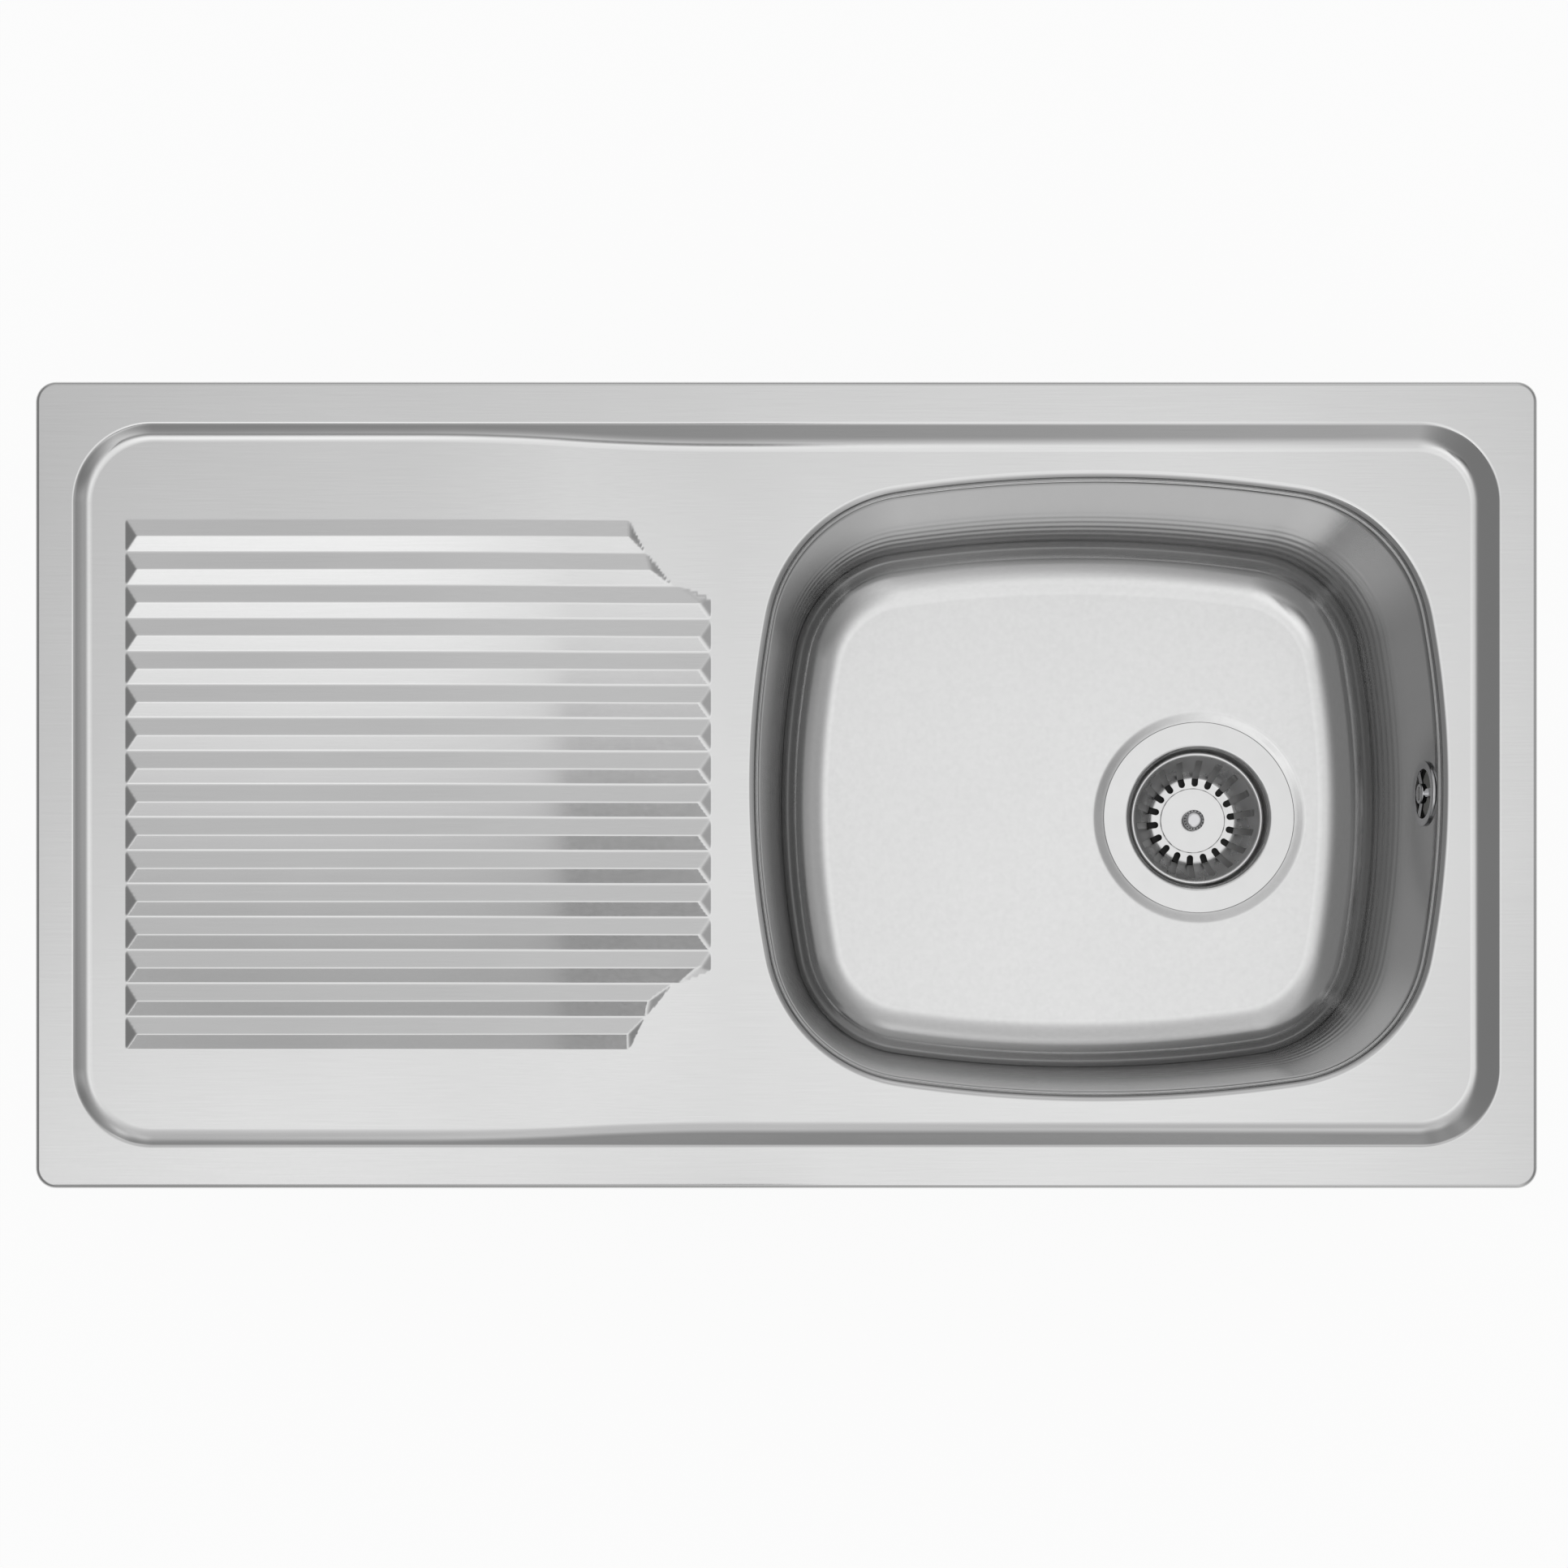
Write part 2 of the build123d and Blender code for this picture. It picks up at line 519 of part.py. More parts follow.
def sink_deck():
    """Pressed sheet: folded rim, border step, ridged drainboard, rolled bowl edge."""
    ridge_field = ridges()
    sheet = deck_solid(0.0, ridge_field) - deck_solid(SHEET, ridge_field)
    reach = DECK_LENGTH
    sheet -= block(-reach, reach, -reach, reach, -3 * FAR, LIP_END)
    under_rim = block(-reach, reach, -reach, reach, -3 * FAR, RIM_EDGE_GAP)
    under_rim -= plate(CUTOUT_LENGTH, CUTOUT_WIDTH, DECK_CORNER, -4 * FAR, FAR)
    return sheet - under_rim


# ---------------------------------------------------------------- bowl
def bowl_shell_solid(drop):
    """The bowl as a solid block, with every surface moved out by drop."""
    draft = math.radians(WALL_DRAFT)
    outset = drop / math.cos(draft)
    bottom = FLOOR_Z - drop
    shrink = (LIP_END - bottom) * math.tan(draft)
    upper = bowl_outline(BOWL_LEDGE - outset, LIP_END)
    lower = bowl_outline(BOWL_LEDGE - outset + shrink, bottom)
    solid = loft([lower, upper], ruled=True)
    floor_edges = solid.faces().sort_by(Axis.Z)[0].edges()
    solid = fillet(floor_edges, FLOOR_ROUND + drop)
    # The shallow recess that takes the waste flange.
    floor_radius = FLANGE_DIAMETER / 2 + DRAIN_SINK_CLEAR
    slope = math.atan2(DRAIN_SINK, DRAIN_SINK_SLOPE)
    shift = drop * math.tan(slope / 2)
    foot = floor_radius - shift
    rise = DRAIN_SINK + 1.0
    mouth = foot + rise * DRAIN_SINK_SLOPE / DRAIN_SINK
    sink_floor = SINK_FLOOR_Z - drop
    top = sink_floor + rise
    dish = turned([(0, sink_floor), (foot, sink_floor), (mouth, top), (0, top)])
    return solid + Pos(DRAIN_X, DRAIN_Y, 0) * dish


def overflow_frame():
    """Where the overflow sits: on the wall's inner face, with Z pointing out of the bowl."""
    draft = math.radians(WALL_DRAFT)
    z = RIM_HEIGHT - OVERFLOW_DROP
    x = BOWL_X + BOWL_HALF_LENGTH - BOWL_LEDGE - (LIP_END - z) * math.tan(draft)
    outward = Vector(math.cos(draft), 0, -math.sin(draft))
    origin = Vector(x, OVERFLOW_Y, z) - outward * OVERFLOW_PAD_PROUD
    return Plane(origin=origin, x_dir=(0, 1, 0), z_dir=outward)


def sink_bowl():
    """Deep-drawn bowl: top ledge, drafted walls, round floor corners, waste recess."""
    solid = bowl_shell_solid(SHEET) + bowl_prism(-SHEET, LIP_END - SHEET, LIP_END)
    sheet = solid - bowl_shell_solid(0.0)
    rim = [face for face in sheet.faces().filter_by(Plane.XY) if abs(face.center().Z - LIP_END) < 0.01][0]
    sheet = fillet(rim.inner_wires()[0].edges(), BOWL_LEDGE_ROUND)
    sheet -= Pos(DRAIN_X, DRAIN_Y, 0) * rod(DRAIN_BORE, FLOOR_Z - FAR, FLOOR_Z + 1)
    frame = overflow_frame()
    sheet -= frame * rod(OVERFLOW_PAD, -FAR / 2, FAR / 2)
    return sheet + frame * tube(OVERFLOW_PAD, OVERFLOW_BORE, 0, SHEET)


# ---------------------------------------------------------------- waste
def at_drain(piece, turn=0.0):
    """Moves a piece made about Z to the drain."""
    return Pos(DRAIN_X, DRAIN_Y, 0) * Rot(0, 0, turn) * piece


def overflow_offset():
    """The overflow spigot's axis seen from the drain: distance and direction."""
    frame = overflow_frame()
    x = frame.origin.X + HEAD_SPIGOT_OUT - DRAIN_X
    y = frame.origin.Y - DRAIN_Y
    return math.hypot(x, y), math.degrees(math.atan2(y, x))


def waste_flange():
    """Stainless dish with a drawn cup whose floor has the drain holes."""
    bore = CUP_BORE / 2
    wall = bore + FLANGE_SHEET
    edge = FLANGE_DIAMETER / 2
    under = FLANGE_TOP - FLANGE_SHEET
    hole = POST_DIAMETER / 2 + RUNNING_FIT
    points = [
        (hole, CUP_FLOOR),
        (bore, CUP_FLOOR),
        (bore, FLANGE_TOP),
        (edge, FLANGE_TOP),
        (edge, under),
        (wall, under),
        (wall, CUP_UNDER),
        (hole, CUP_UNDER),
    ]
    rounds = {1: CUP_CORNER, 2: FLANGE_MOUTH_ROUND, 3: FLANGE_SHEET / 2}
    rounds[5] = FLANGE_MOUTH_ROUND - FLANGE_SHEET
    rounds[6] = CUP_CORNER + FLANGE_SHEET
    flange = turned(points, rounds)
    for place in PolarLocations(CUP_HOLE_PITCH_DIAMETER / 2, CUP_HOLES):
        flange -= place * rod(CUP_HOLE_DIAMETER, CUP_UNDER - 1, CUP_FLOOR + 1)
    return at_drain(flange)


def flange_gasket():
    """Thin ring between the flange and the recess in the bowl's floor."""
    outer = FLANGE_DIAMETER - 2 * FLANGE_SHEET
    return at_drain(tube(outer, DRAIN_BORE, SINK_FLOOR_Z, SINK_FLOOR_Z + FLANGE_GASKET))


def lower_gasket():
    """Thick ring between the bowl's underside and the waste body."""
    return at_drain(tube(BODY_RIM_DIAMETER, DRAIN_BORE, BODY_TOP, BODY_TOP + LOWER_GASKET))


def waste_body():
    """Plastic body: rim, funnel, threaded outlet, hub for the post, overflow spigot."""
    bore = BODY_BORE / 2
    wall = bore + BODY_WALL
    rim = BODY_RIM_DIAMETER / 2
    thread = OUTLET_THREAD / 2
    relief = thread - THREAD_RELIEF
    outlet = OUTLET_BORE / 2
    thread_top = OUTLET_END + THREAD_LENGTH
    rim_under = BODY_TOP - BODY_RIM_THICKNESS
    outside = [
        (0, BODY_TOP),
        (rim, BODY_TOP),
        (rim, rim_under),
        (wall, rim_under),
        (wall, BODY_CONE_TOP),
        (relief, BODY_CONE_END),
        (relief, thread_top),
        (thread, thread_top),
        (thread, OUTLET_END),
        (0, OUTLET_END),
    ]
    lift = BODY_WALL / 2
    inside = [
        (0, BODY_TOP + 1),
        (bore, BODY_TOP + 1),
        (bore, BODY_CONE_TOP + lift),
        (outlet, BODY_CONE_END + lift),
        (outlet, OUTLET_END - 1),
        (0, OUTLET_END - 1),
    ]
    filled = turned(outside, {4: BODY_WALL})
    hub = rod(HUB_DIAMETER, CUP_UNDER - HUB_LENGTH, CUP_UNDER)
    for rib in range(HUB_RIBS):
        angle = (rib + 0.5) * 360 / HUB_RIBS
        bar = block(0, wall, -HUB_RIB / 2, HUB_RIB / 2, CUP_UNDER - HUB_LENGTH, CUP_UNDER - HUB_RIB_GAP)
        hub += Rot(0, 0, angle) * bar & filled
    body = filled - turned(inside)
    along = Pos(0, 0, SPIGOT_Z) * Rot(0, 90, 0)
    body += along * rod(SPIGOT_DIAMETER, bore + BODY_WALL / 2, wall + SPIGOT_LENGTH)
    body -= along * rod(SPIGOT_BORE, bore / 2, wall + SPIGOT_LENGTH + 1)
    body += hub
    body -= rod(POST_DIAMETER + 2 * RUNNING_FIT, CUP_UNDER - HUB_LENGTH - 1, CUP_UNDER + 1)
    return at_drain(body, overflow_offset()[1])


def centre_post():
    """Hollow hexagon-headed screw that clamps the flange to the body."""
    post = hex_bar(POST_HEAD, CUP_FLOOR, POST_TOP) + rod(POST_DIAMETER, CUP_FLOOR - POST_LENGTH, CUP_FLOOR)
    return at_drain(post - rod(POST_BORE, CUP_FLOOR - POST_LENGTH - 1, POST_TOP + 1))


# ---------------------------------------------------------------- strainer
def strainer_basket():
    """Pressed basket with a rolled rim and radial slots from its floor up its wall."""
    rim_radius = BASKET_RIM_DIAMETER / 2 - BASKET_RIM_ROUND
    rim_z = BASKET_TOP - BASKET_RIM_ROUND
    hole = STEM_DIAMETER / 2 + RUNNING_FIT
    slope = math.atan2(rim_z - BASKET_FLOOR, BASKET_WALL_TOP - BASKET_FLOOR_RADIUS)
    corner_shift = BASKET_SHEET * math.tan(slope / 2)
    outer_top = (BASKET_WALL_TOP + BASKET_SHEET * math.sin(slope), rim_z - BASKET_SHEET * math.cos(slope))
    points = [
        (hole, BASKET_FLOOR),
        (BASKET_FLOOR_RADIUS, BASKET_FLOOR),
        (BASKET_WALL_TOP, rim_z),
        outer_top,
        (BASKET_FLOOR_RADIUS + corner_shift, BASKET_UNDER),
        (hole, BASKET_UNDER),
    ]
    basket = turned(points, {1: BASKET_CORNER, 4: BASKET_CORNER + BASKET_SHEET})
    roll = Plane.XZ * Pos(rim_radius, rim_z) * Circle(BASKET_RIM_ROUND)
    basket += revolve(roll, Axis.Z)
    half = SLOT_WIDTH / 2
    slot = Rectangle(SLOT_OUTER - SLOT_INNER - half, SLOT_WIDTH, align=(Align.MIN, Align.CENTER))
    slot += Circle(half)
    slot = extrude(Pos(SLOT_INNER + half, 0, BASKET_UNDER - 1) * slot, BASKET_DEPTH + 2)
    for place in range(SLOT_COUNT):
        basket -= Rot(0, 0, SLOT_TURN + place * 360 / SLOT_COUNT) * slot
    return at_drain(basket)


def strainer_cap():
    """Flat disc on the basket's floor under the knob."""
    hole = STEM_DIAMETER / 2 + RUNNING_FIT
    edge = CAP_DIAMETER / 2
    points = [(hole, BASKET_FLOOR), (edge, BASKET_FLOOR), (edge, CAP_TOP), (hole, CAP_TOP)]
    return at_drain(turned(points, {2: CAP_ROUND}))


def strainer_knob():
    """Small mushroom-shaped pull knob, screwed on the stem."""
    neck = KNOB_NECK / 2
    head = KNOB_DIAMETER / 2
    top = CAP_TOP + KNOB_HEIGHT
    shoulder = top - KNOB_HEAD_HEIGHT
    hole = STEM_DIAMETER / 2 + RUNNING_FIT
    hole_end = CAP_TOP + STEM_IN_KNOB + RUNNING_FIT
    points = [
        (hole, CAP_TOP),
        (neck, CAP_TOP),
        (neck, shoulder),
        (head, shoulder),
        (head, top),
        (0, top),
        (0, hole_end),
        (hole, hole_end),
    ]
    return at_drain(turned(points, {2: KNOB_NECK_ROUND, 3: KNOB_UNDER_ROUND, 4: KNOB_ROUND}))


def strainer_stem():
    """Turned stem: knob thread, seal flange, guide, thin tail with a head."""
    flange_under = SEAL_TOP - STEM_FLANGE_THICKNESS
    stem = rod(STEM_DIAMETER, SEAL_TOP, CAP_TOP + STEM_IN_KNOB)
    stem += rod(STEM_FLANGE, flange_under, SEAL_TOP)
    stem += rod(STEM_GUIDE, BUSH_TOP + BUSH_END_GAP, flange_under)
    tail_end = BUSH_END - BUSH_END_GAP
    stem += rod(STEM_TAIL, tail_end, BUSH_TOP + BUSH_END_GAP)
    stem += rod(STEM_TAIL_HEAD, tail_end - STEM_TAIL_HEAD_HEIGHT, tail_end)
    return at_drain(stem)


def strainer_seal():
    """Rubber ring that closes the cup's drain holes."""
    return at_drain(tube(SEAL_DIAMETER, SEAL_BORE, SEAL_UNDER, SEAL_TOP))


def strainer_washer():
    """Steel washer that backs the seal."""
    return at_drain(tube(WASHER_DIAMETER, STEM_DIAMETER + 2 * RUNNING_FIT, SEAL_TOP, WASHER_TOP))


def strainer_nut():
    """Nut between the washer and the basket's floor."""
    nut = hex_bar(STRAINER_NUT, WASHER_TOP, BASKET_UNDER)
    return at_drain(nut - rod(STEM_DIAMETER + 2 * RUNNING_FIT, WASHER_TOP - 1, BASKET_UNDER + 1))


def strainer_bush():
    """Plastic catch bush that slides in the post while the stem turns in it."""
    outer = POST_BORE - 2 * RUNNING_FIT
    return at_drain(tube(outer, STEM_TAIL + 2 * RUNNING_FIT, BUSH_END, BUSH_TOP))


# ---------------------------------------------------------------- overflow
def overflow_rosette():
    """Grille on the bowl's wall: ring, three arms and a raised hub."""
    edge = ROSETTE_DIAMETER / 2
    front = -ROSETTE_THICKNESS
    points = [(ROSETTE_OPENING, 0), (edge, 0), (edge, front), (ROSETTE_OPENING, front)]
    rosette = turned(points, {2: ROSETTE_ROUND, 3: ROSETTE_ROUND / 2})
    half = ROSETTE_ARM / 2
    for arm in range(ROSETTE_ARMS):
        bar = block(0, ROSETTE_OPENING + half, -half, half, -ROSETTE_ARM_FRONT, -ROSETTE_ARM_BACK)
        rosette += Rot(0, 0, 90 + arm * 360 / ROSETTE_ARMS) * bar
    hub_front = -ROSETTE_HUB_HEIGHT
    hub_points = [(0, -ROSETTE_ARM_BACK), (ROSETTE_HUB, -ROSETTE_ARM_BACK), (ROSETTE_HUB, hub_front), (0, hub_front)]
    rosette += turned(hub_points, {2: ROSETTE_ROUND})
    # The screw's head sits in a round pocket in the hub.
    pocket = hub_front + OVERFLOW_SCREW_HEAD_HEIGHT
    rosette -= rod(OVERFLOW_SCREW_HEAD + 2 * RUNNING_FIT, hub_front - 1, pocket)
    rosette -= rod(OVERFLOW_SCREW + 2 * RUNNING_FIT, hub_front - 1, 1)
    return overflow_frame() * rosette


def overflow_screw():
    """Slotted screw that pulls the rosette and the head together."""
    head_front = -ROSETTE_HUB_HEIGHT
    head_back = head_front + OVERFLOW_SCREW_HEAD_HEIGHT
    far_end = SHEET + OVERFLOW_GASKET + HEAD_DEPTH - 2 * HEAD_WALL
    screw = rod(OVERFLOW_SCREW_HEAD, head_front, head_back) + rod(OVERFLOW_SCREW, head_back, far_end)
    half = OVERFLOW_SCREW_SLOT / 2
    length = OVERFLOW_SCREW_HEAD
    slot_end = head_front + OVERFLOW_SCREW_SLOT_DEPTH
    screw -= block(-length, length, -half, half, head_front - 1, slot_end)
    return overflow_frame() * screw


def overflow_gasket():
    """Rubber ring between the wall and the head."""
    return overflow_frame() * tube(HEAD_DIAMETER, GASKET_BORE, SHEET, SHEET + OVERFLOW_GASKET)


def overflow_head():
    """Plastic chamber behind the wall with a boss for the screw and a spigot down."""
    frame = overflow_frame()
    near = SHEET + OVERFLOW_GASKET
    far = near + HEAD_DEPTH
    cavity = HEAD_DIAMETER - 2 * HEAD_WALL
    shell = frame * rod(HEAD_DIAMETER, near, far)
    axis = Pos(frame.origin.X + HEAD_SPIGOT_OUT, frame.origin.Y, 0)
    centre = frame.origin.Z
    shell += axis * rod(SPIGOT_DIAMETER, centre - HEAD_SPIGOT_LENGTH, centre)
    shell -= frame * rod(cavity, near - 1, far - HEAD_WALL)
    shell -= axis * rod(SPIGOT_BORE, centre - HEAD_SPIGOT_LENGTH - 1, centre)
    shell += frame * rod(HEAD_BOSS, near + HEAD_WALL, far - HEAD_WALL / 2)
    return shell - frame * rod(OVERFLOW_SCREW + 2 * RUNNING_FIT, near, far - HEAD_WALL)


def hose_path():
    """The hose's centre line from the head's spigot to the waste body's spigot."""
    frame = overflow_frame()
    reach, turn = overflow_offset()
    top = frame.origin.Z - HEAD_SPIGOT_LENGTH + HOSE_LAP
    end = BODY_BORE / 2 + BODY_WALL + SPIGOT_LENGTH - HOSE_LAP
    bend_end = end + HOSE_CUFF + HOSE_LAND
    bend = reach - bend_end
    down = Line((reach, 0, top), (reach, 0, SPIGOT_Z + bend))
    middle = bend * math.sqrt(0.5)
    bend_middle = (bend_end + middle, 0, SPIGOT_Z + bend - middle)
    turning = ThreePointArc(down @ 1, bend_middle, (bend_end, 0, SPIGOT_Z))
    along = Line(turning @ 1, (end, 0, SPIGOT_Z))
    place = Pos(DRAIN_X, DRAIN_Y, 0) * Rot(0, 0, turn)
    return place * Wire([down, turning, along])


def across_path(path, distance):
    """A plane across the path with a steady X axis."""
    start = path @ 0
    end = path @ 1
    side = Vector(end.Y - start.Y, start.X - end.X, 0).normalized()
    place = distance / path.length
    return Plane(origin=path @ place, x_dir=side, z_dir=path % place)


def overflow_hose():
    """Ribbed hose with a plain cuff at each end."""
    path = hose_path()
    bore = SPIGOT_DIAMETER / 2 + RUNNING_FIT
    wall = bore + HOSE_WALL
    cuff = bore + HOSE_CUFF_WALL
    crest = wall + HOSE_RIB
    hose = sweep(across_path(path, 0) * Circle(wall), path)
    ribbed = path.length - 2 * HOSE_CUFF
    ribs = int(ribbed // HOSE_PITCH)
    first = HOSE_CUFF + (ribbed - (ribs - 1) * HOSE_PITCH) / 2
    root = wall - HOSE_WALL / 4
    for rib in range(ribs):
        plane = across_path(path, first + rib * HOSE_PITCH)
        foot = HOSE_RIB_FOOT / 2
        top = HOSE_RIB_TOP / 2
        steps = [(-foot, root), (-top, crest), (top, crest), (foot, root)]
        circles = [plane.offset(along) * Circle(radius) for along, radius in steps]
        hose += loft(circles, ruled=True)
    hose += extrude(across_path(path, 0) * Circle(cuff), HOSE_CUFF)
    hose += extrude(across_path(path, path.length) * Circle(cuff), -HOSE_CUFF)
    return hose - sweep(across_path(path, 0) * Circle(bore), path)


def hose_clamp(distance):
    """Band clamp round a cuff of the hose, with its worm housing."""
    inner = SPIGOT_DIAMETER / 2 + RUNNING_FIT + HOSE_CUFF_WALL + RUNNING_FIT
    outer = inner + CLAMP_BAND
    half = CLAMP_WIDTH / 2
    band = rod(2 * outer, -half, half)
    length = CLAMP_HOUSING_LENGTH / 2
    band += block(-length, length, 0, outer + CLAMP_HOUSING_HEIGHT, -half, half)
    band -= rod(2 * inner, -half - 1, half + 1)
    return across_path(hose_path(), distance) * Rot(0, 0, 90) * band


# ---------------------------------------------------------------- seal, pad and earth tag
def edge_seal():
    """Foam ring between the rim and the worktop."""
    length = DECK_LENGTH - 2 * EDGE_SEAL_SETBACK
    width = DECK_WIDTH - 2 * EDGE_SEAL_SETBACK
    ring = plate(length, width, DECK_CORNER - EDGE_SEAL_SETBACK, 0, RIM_UNDER)
    return ring - plate(CUTOUT_LENGTH, CUTOUT_WIDTH, DECK_CORNER - CUTOUT_LAP, -1, RIM_UNDER + 1)


def sound_pad():
    """Sound-deadening pad under the bowl's floor."""
    x = DRAIN_X - SOUND_PAD_TO_DRAIN - SOUND_PAD_LENGTH / 2
    top = FLOOR_Z - SHEET
    pad = plate(SOUND_PAD_LENGTH, SOUND_PAD_WIDTH, SOUND_PAD_CORNER, top - SOUND_PAD_THICKNESS, top)
    return Pos(x, 0, 0) * pad


def earth_axis():
    """The earth screw's axis, pointing to the back, with its origin on the tag's face."""
    y = RIDGES_SHIFT + RIDGES_HALF_WIDTH + EARTH_TO_RIDGES
    z = DRAINBOARD_Z - SHEET - EARTH_TAG_DROP + EARTH_TAG_WIDTH / 2
    return Plane(origin=(EARTH_X, y, z), x_dir=(1, 0, 0), z_dir=(0, 1, 0))


def earth_tag():
    """Bent tag welded under the drainboard, with a hole for the earth screw."""
    axis = earth_axis()
    y = axis.origin.Y
    half = EARTH_TAG_WIDTH / 2
    top = DRAINBOARD_Z - SHEET
    tag = block(EARTH_X - half, EARTH_X + half, y, y + EARTH_TAG_FOOT, top - EARTH_TAG_THICKNESS, top)
    tag += block(EARTH_X - half, EARTH_X + half, y, y + EARTH_TAG_THICKNESS, top - EARTH_TAG_DROP, top)
    return tag - axis * rod(EARTH_SCREW + 2 * RUNNING_FIT, -1, EARTH_TAG_THICKNESS + 1)


def earth_screw():
    """Round-headed screw through the earth tag."""
    screw = rod(EARTH_SCREW_HEAD, -EARTH_SCREW_HEAD_HEIGHT, 0) + rod(EARTH_SCREW, 0, EARTH_SCREW_LENGTH)
    return earth_axis() * screw


def earth_nut():
    """Nut of the earth screw, against the tag's back."""
    start = EARTH_TAG_THICKNESS
    nut = hex_bar(EARTH_NUT, start, start + EARTH_NUT_HEIGHT)
    return earth_axis() * (nut - rod(EARTH_SCREW + 2 * RUNNING_FIT, start - 1, start + EARTH_NUT_HEIGHT + 1))


# ---------------------------------------------------------------- worktop clips
def clip_places():
    """Each clip's frame: origin on the cut-out's edge, +X pointing under the worktop."""
    back = CUTOUT_WIDTH / 2
    end = CUTOUT_LENGTH / 2
    places = {}
    for side, x in (("left", -CLIP_SIDE_X), ("middle", 0.0), ("right", CLIP_SIDE_X)):
        places["back_" + side] = Pos(x, back, 0) * Rot(0, 0, 90)
        places["front_" + side] = Pos(x, -back, 0) * Rot(0, 0, -90)
    places["left_end"] = Pos(-end, 0, 0) * Rot(0, 0, 180)
    places["right_end"] = Pos(end, 0, 0)
    return places


ANCHOR_OUTER = -ANCHOR_SETBACK
ANCHOR_INNER = ANCHOR_OUTER - ANCHOR_FOOT
CLIP_INNER = ANCHOR_INNER + ANCHOR_SHEET + CLIP_GAP
CLIP_OUTER = CLIP_INNER + CLIP_SHEET
WINDOW_TOP = RIM_UNDER - ANCHOR_WINDOW_DROP
WINDOW_END = WINDOW_TOP - ANCHOR_WINDOW_HEIGHT
HOOK_UNDER = WINDOW_END + CLIP_GAP


def clip_anchor():
    """Bent bracket welded under the rim, with a window for the clip's hook."""
    half = ANCHOR_WIDTH / 2
    inner_face = ANCHOR_INNER + ANCHOR_SHEET
    anchor = block(ANCHOR_INNER, ANCHOR_OUTER, -half, half, RIM_UNDER - ANCHOR_SHEET, RIM_UNDER)
    anchor += block(ANCHOR_INNER, inner_face, -half, half, RIM_UNDER - ANCHOR_DROP, RIM_UNDER)
    window = ANCHOR_WINDOW_WIDTH / 2
    return anchor - block(ANCHOR_INNER - 1, inner_face + 1, -window, window, WINDOW_END, WINDOW_TOP)


def clip_body():
    """Bent steel strip: hook through the anchor's window, leg, arm under the worktop."""
    half = CLIP_WIDTH / 2
    hook_half = HOOK_WIDTH / 2
    arm_end = SCREW_REACH + ARM_PAST_SCREW
    top = RIM_UNDER - CLIP_TOP_DROP
    body = block(CLIP_INNER, CLIP_OUTER, -half, half, ARM_UNDER, top)
    body += block(CLIP_INNER, arm_end, -half, half, ARM_UNDER, ARM_TOP)
    hook_top = HOOK_UNDER + CLIP_SHEET
    hook_end = ANCHOR_INNER - HOOK_REACH
    body += block(hook_end, CLIP_OUTER, -hook_half, hook_half, HOOK_UNDER, hook_top)
    body += block(hook_end, hook_end + CLIP_SHEET, -hook_half, hook_half, HOOK_UNDER, HOOK_UNDER + HOOK_LIP)
    bend = [edge for edge in body.edges().filter_by(Axis.Y) if abs((edge @ 0).X - CLIP_INNER) < 0.01]
    body = fillet([edge for edge in bend if abs((edge @ 0).Z - ARM_UNDER) < 0.01], CLIP_SHEET)
    return body - Pos(SCREW_REACH, 0, 0) * rod(CLIP_SCREW + 2 * RUNNING_FIT, ARM_UNDER - 1, ARM_TOP + 1)


def clip_pad():
    """Round clamp pad, crimped over the screw's tip so that the screw turns in it."""
    edge = PAD_DIAMETER / 2
    neck = CLIP_SCREW_NECK / 2 + RUNNING_FIT
    tip = CLIP_SCREW_TIP / 2 + RUNNING_FIT
    skin = (PAD_THICKNESS - CLIP_SCREW_TIP_HEIGHT) / 2
    pocket_top = PAD_LOW_TOP - skin + RUNNING_FIT
    pocket_under = PAD_LOW_UNDER + skin - RUNNING_FIT
    points = [
        (0, PAD_LOW_TOP),
        (edge, PAD_LOW_TOP),
        (edge, PAD_LOW_UNDER),
        (neck, PAD_LOW_UNDER),
        (neck, pocket_under),
        (tip, pocket_under),
        (tip, pocket_top),
        (0, pocket_top),
    ]
    return Pos(SCREW_REACH, 0, 0) * turned(points, {1: PAD_EDGE_ROUND, 2: PAD_EDGE_ROUND})


def clip_screw():
    """Clamp screw: tip and neck in the pad, thread in the arm, slotted hexagon head."""
    skin = (PAD_THICKNESS - CLIP_SCREW_TIP_HEIGHT) / 2
    tip_top = PAD_LOW_TOP - skin
    tip_under = tip_top - CLIP_SCREW_TIP_HEIGHT
    thread_top = PAD_LOW_UNDER - CLIP_SCREW_SHOULDER_GAP
    head_top = ARM_UNDER - CLIP_TRAVEL - CLIP_SCREW_SPARE
    head_under = head_top - CLIP_SCREW_HEAD_HEIGHT
    screw = rod(CLIP_SCREW_TIP, tip_under, tip_top) + rod(CLIP_SCREW_NECK, thread_top, tip_under)
    screw += rod(CLIP_SCREW, head_top, thread_top) + hex_bar(CLIP_SCREW_HEAD, head_under, head_top)
    half = CLIP_SCREW_SLOT / 2
    screw -= block(-CLIP_SCREW_HEAD, CLIP_SCREW_HEAD, -half, half, head_under - 1, head_under + CLIP_SCREW_SLOT)
    return Pos(SCREW_REACH, 0, 0) * screw


